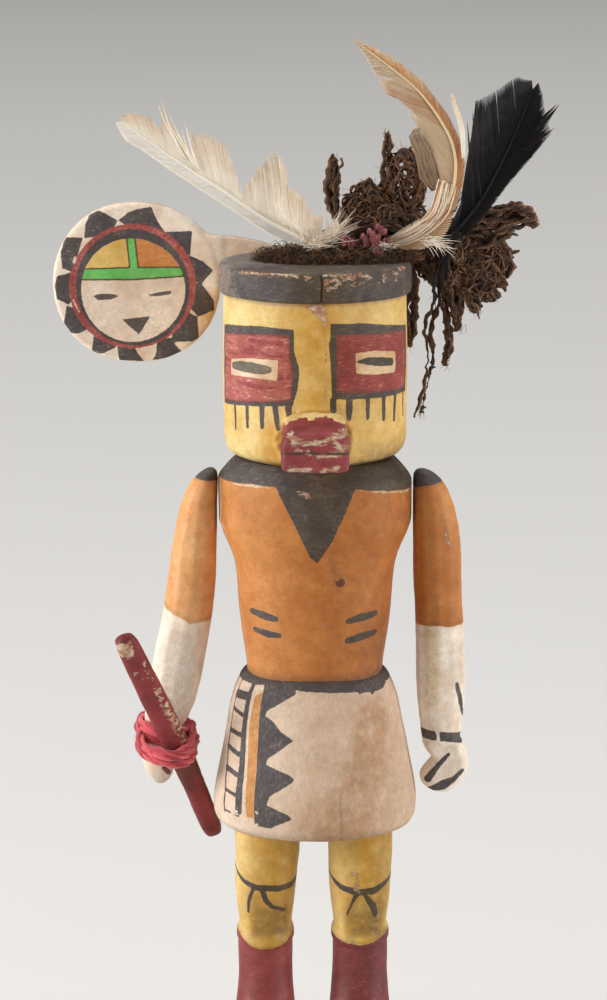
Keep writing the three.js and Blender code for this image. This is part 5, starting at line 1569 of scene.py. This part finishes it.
def ribbon_paint():
    """Matted bark fibre: dark, with lighter threads along it, and rusty-brown edges and crests that are
    partly its colour and partly a painted highlight.
    """
    g = Graph("brown_fibre")
    place = g.add("ShaderNodeCombineXYZ", None, _0=g.mark("across"), _1=g.times(g.mark("run"), 0.12),
                  _2=g.mark("tone"))
    thread = g.noise_at(place.outputs[0], 3.0, 4.0, 0.65)
    tone = g.plus(g.times(g.mark("tone"), 0.4), g.times(g.noise(4, 3, 0.6), 0.6))
    body = g.mix(g.step(tone, 0.25, 0.8), rgb(30, 20, 15), rgb(74, 51, 35))
    body = g.mix(g.step(thread, 0.5, 0.66, 0, 0.8), body, rgb(112, 80, 54))
    # Edges and crests take a lighter rusty brown: partly the fibre's colour and partly a painted highlight.
    rim = g.times(g.step(g.mark("rim"), 0.35, 0.9), g.step(g.noise(2, 3, 0.6), 0.35, 0.6, 0.15, 1.0))
    colour = g.mix(rim, body, rgb(162, 110, 66))
    return g.finish(colour, 0.78, thread, 0.6)


# ---- Base ----------------------------------------------------------------------------------------

BASE_RADIUS = 37
BASE_CENTRE_Y = -4


def base():
    rows = [(0, 36.6), (0.7, BASE_RADIUS), (10.6, BASE_RADIUS), (11.6, 36.4), (BASE_TOP, 35.6)]
    p, _ = loft([(z, 0, BASE_CENTRE_Y, r, r) for z, r in rows], 1.1 * DETAIL)
    x, y = p[..., 0], p[..., 1] - BASE_CENTRE_Y
    a = np.arctan2(y, x)
    grow = 1 + (0.7 * np.cos(2 * a + 0.6) + 0.4 * np.cos(3 * a)) / BASE_RADIUS
    p = np.stack([x * grow, y * grow + BASE_CENTRE_Y, p[..., 2]], axis=-1)
    rings, sides = p.shape[:2]
    flat = ease(0.3, 1.2, p[..., 2])
    p = p + grid_normals(p) * (dents(p, 0.16) * flat)[..., None]
    p[..., 2] = np.clip(p[..., 2], 0, BASE_TOP)
    piece = mesh("root_slice", p.reshape(-1, 3), tube_faces(rings, sides))
    g = Graph("bare_wood")
    spread = g.add("ShaderNodeMapping", None, Vector=g.place)
    spread.inputs["Scale"].default_value = (1, 1, 0.25)
    spread.inputs["Location"].default_value = (0.006, -0.004, 0)
    shape = {"wave_type": "RINGS", "rings_direction": "Z", "wave_profile": "SAW"}
    wave = g.add("ShaderNodeTexWave", shape, Vector=spread.outputs[0], Scale=55.0, Distortion=5.0,
                 Detail=3.0, **{"Detail Scale": 1.2})
    year_rings = wave.outputs["Fac"]
    grain = g.noise(0.35, 4, 0.7, (1, 1, 8))
    cloud = g.noise(16, 4, 0.6)
    colour = g.mix(g.step(year_rings, 0.1, 0.95), rgb(196, 160, 118), rgb(222, 192, 150))
    colour = g.mix(g.step(cloud, 0.35, 0.7, 0, 0.45), colour, rgb(176, 132, 90))
    colour = g.mix(g.step(grain, 0.55, 0.75, 0, 0.3), colour, rgb(140, 98, 62))
    height = g.plus(g.times(grain, 0.08), g.times(year_rings, 0.03))
    return dress(piece, g.finish(colour, 0.62, height, 0.8), "bare_wood", "base")


# ---- Room ----------------------------------------------------------------------------------------

LAMPS_AIM = Vector((0, 0, 0.19))


def room():
    """A pale paper floor and soft lamps. Places and sizes here and in camera() are metres."""
    bpy.ops.mesh.primitive_plane_add(size=20)
    floor = bpy.context.object
    floor.name = "floor"
    g = Graph("floor_paper")
    colour = g.mix(g.noise(400, 2, 0.5), rgb(218, 217, 215), rgb(222, 221, 219))
    floor.data.materials.append(g.finish(colour, 0.9))
    scene = bpy.context.scene
    scene.view_settings.view_transform = "Standard"
    world = bpy.data.worlds.new("room_light")
    world.use_nodes = True
    world.node_tree.nodes["Background"].inputs["Color"].default_value = (1.0, 0.985, 0.965, 1)
    world.node_tree.nodes["Background"].inputs["Strength"].default_value = 0.2
    scene.world = world

    def lamp(name, place, size, power, colour):
        light = bpy.data.lights.new(name, "AREA")
        light.size = size
        light.energy = power
        light.color = colour
        holder = bpy.data.objects.new(name, light)
        holder.location = place
        holder.rotation_euler = (LAMPS_AIM - Vector(place)).to_track_quat("-Z", "Y").to_euler()
        holder.visible_camera = False
        scene.collection.objects.link(holder)

    lamp("key", (-1.68, -0.5, 0.75), 0.8, 31, (1.0, 0.98, 0.95))
    lamp("fill", (1.62, -0.55, 0.6), 0.8, 19, (1.0, 0.985, 0.97))
    lamp("sky", (0, 1.2, 4.5), 5, 150, (1.0, 0.99, 0.98))


CAMERA_AIM = (-0.00368, 0, 0.189)
CAMERA_DISTANCE = 1.67
CAMERA_PITCH = math.radians(10.5)


def camera():
    lens = bpy.data.cameras.new("camera")
    lens.sensor_fit = "VERTICAL"
    lens.sensor_height = 36
    lens.sensor_width = 36
    lens.lens = 187.9
    lens.clip_start = 0.05
    lens.clip_end = 60
    eye = bpy.data.objects.new("camera", lens)
    bpy.context.scene.collection.objects.link(eye)
    back = CAMERA_DISTANCE * math.cos(CAMERA_PITCH)
    rise = CAMERA_DISTANCE * math.sin(CAMERA_PITCH)
    eye.location = (CAMERA_AIM[0], CAMERA_AIM[1] - back, CAMERA_AIM[2] + rise)
    eye.rotation_euler = (math.radians(90) - CAMERA_PITCH, 0, 0)
    bpy.context.scene.camera = eye


camera()
room()
head()
torso()
kilt()
leg(-1)
leg(1)
snout()
arm(-1)
arm(1)
sun_tablet()
staff()
red_yarn = fibre_paint("red_yarn", rgb(166, 34, 48), rgb(234, 94, 104), 0.5)
lashing(red_yarn)
tie(fibre_paint("crest_yarn", rgb(98, 26, 30), rgb(164, 84, 86), 0.3))
feathers()
down(fibre_paint("brown_down", rgb(38, 24, 14), rgb(132, 92, 52), 0.0))
fibre()
base()
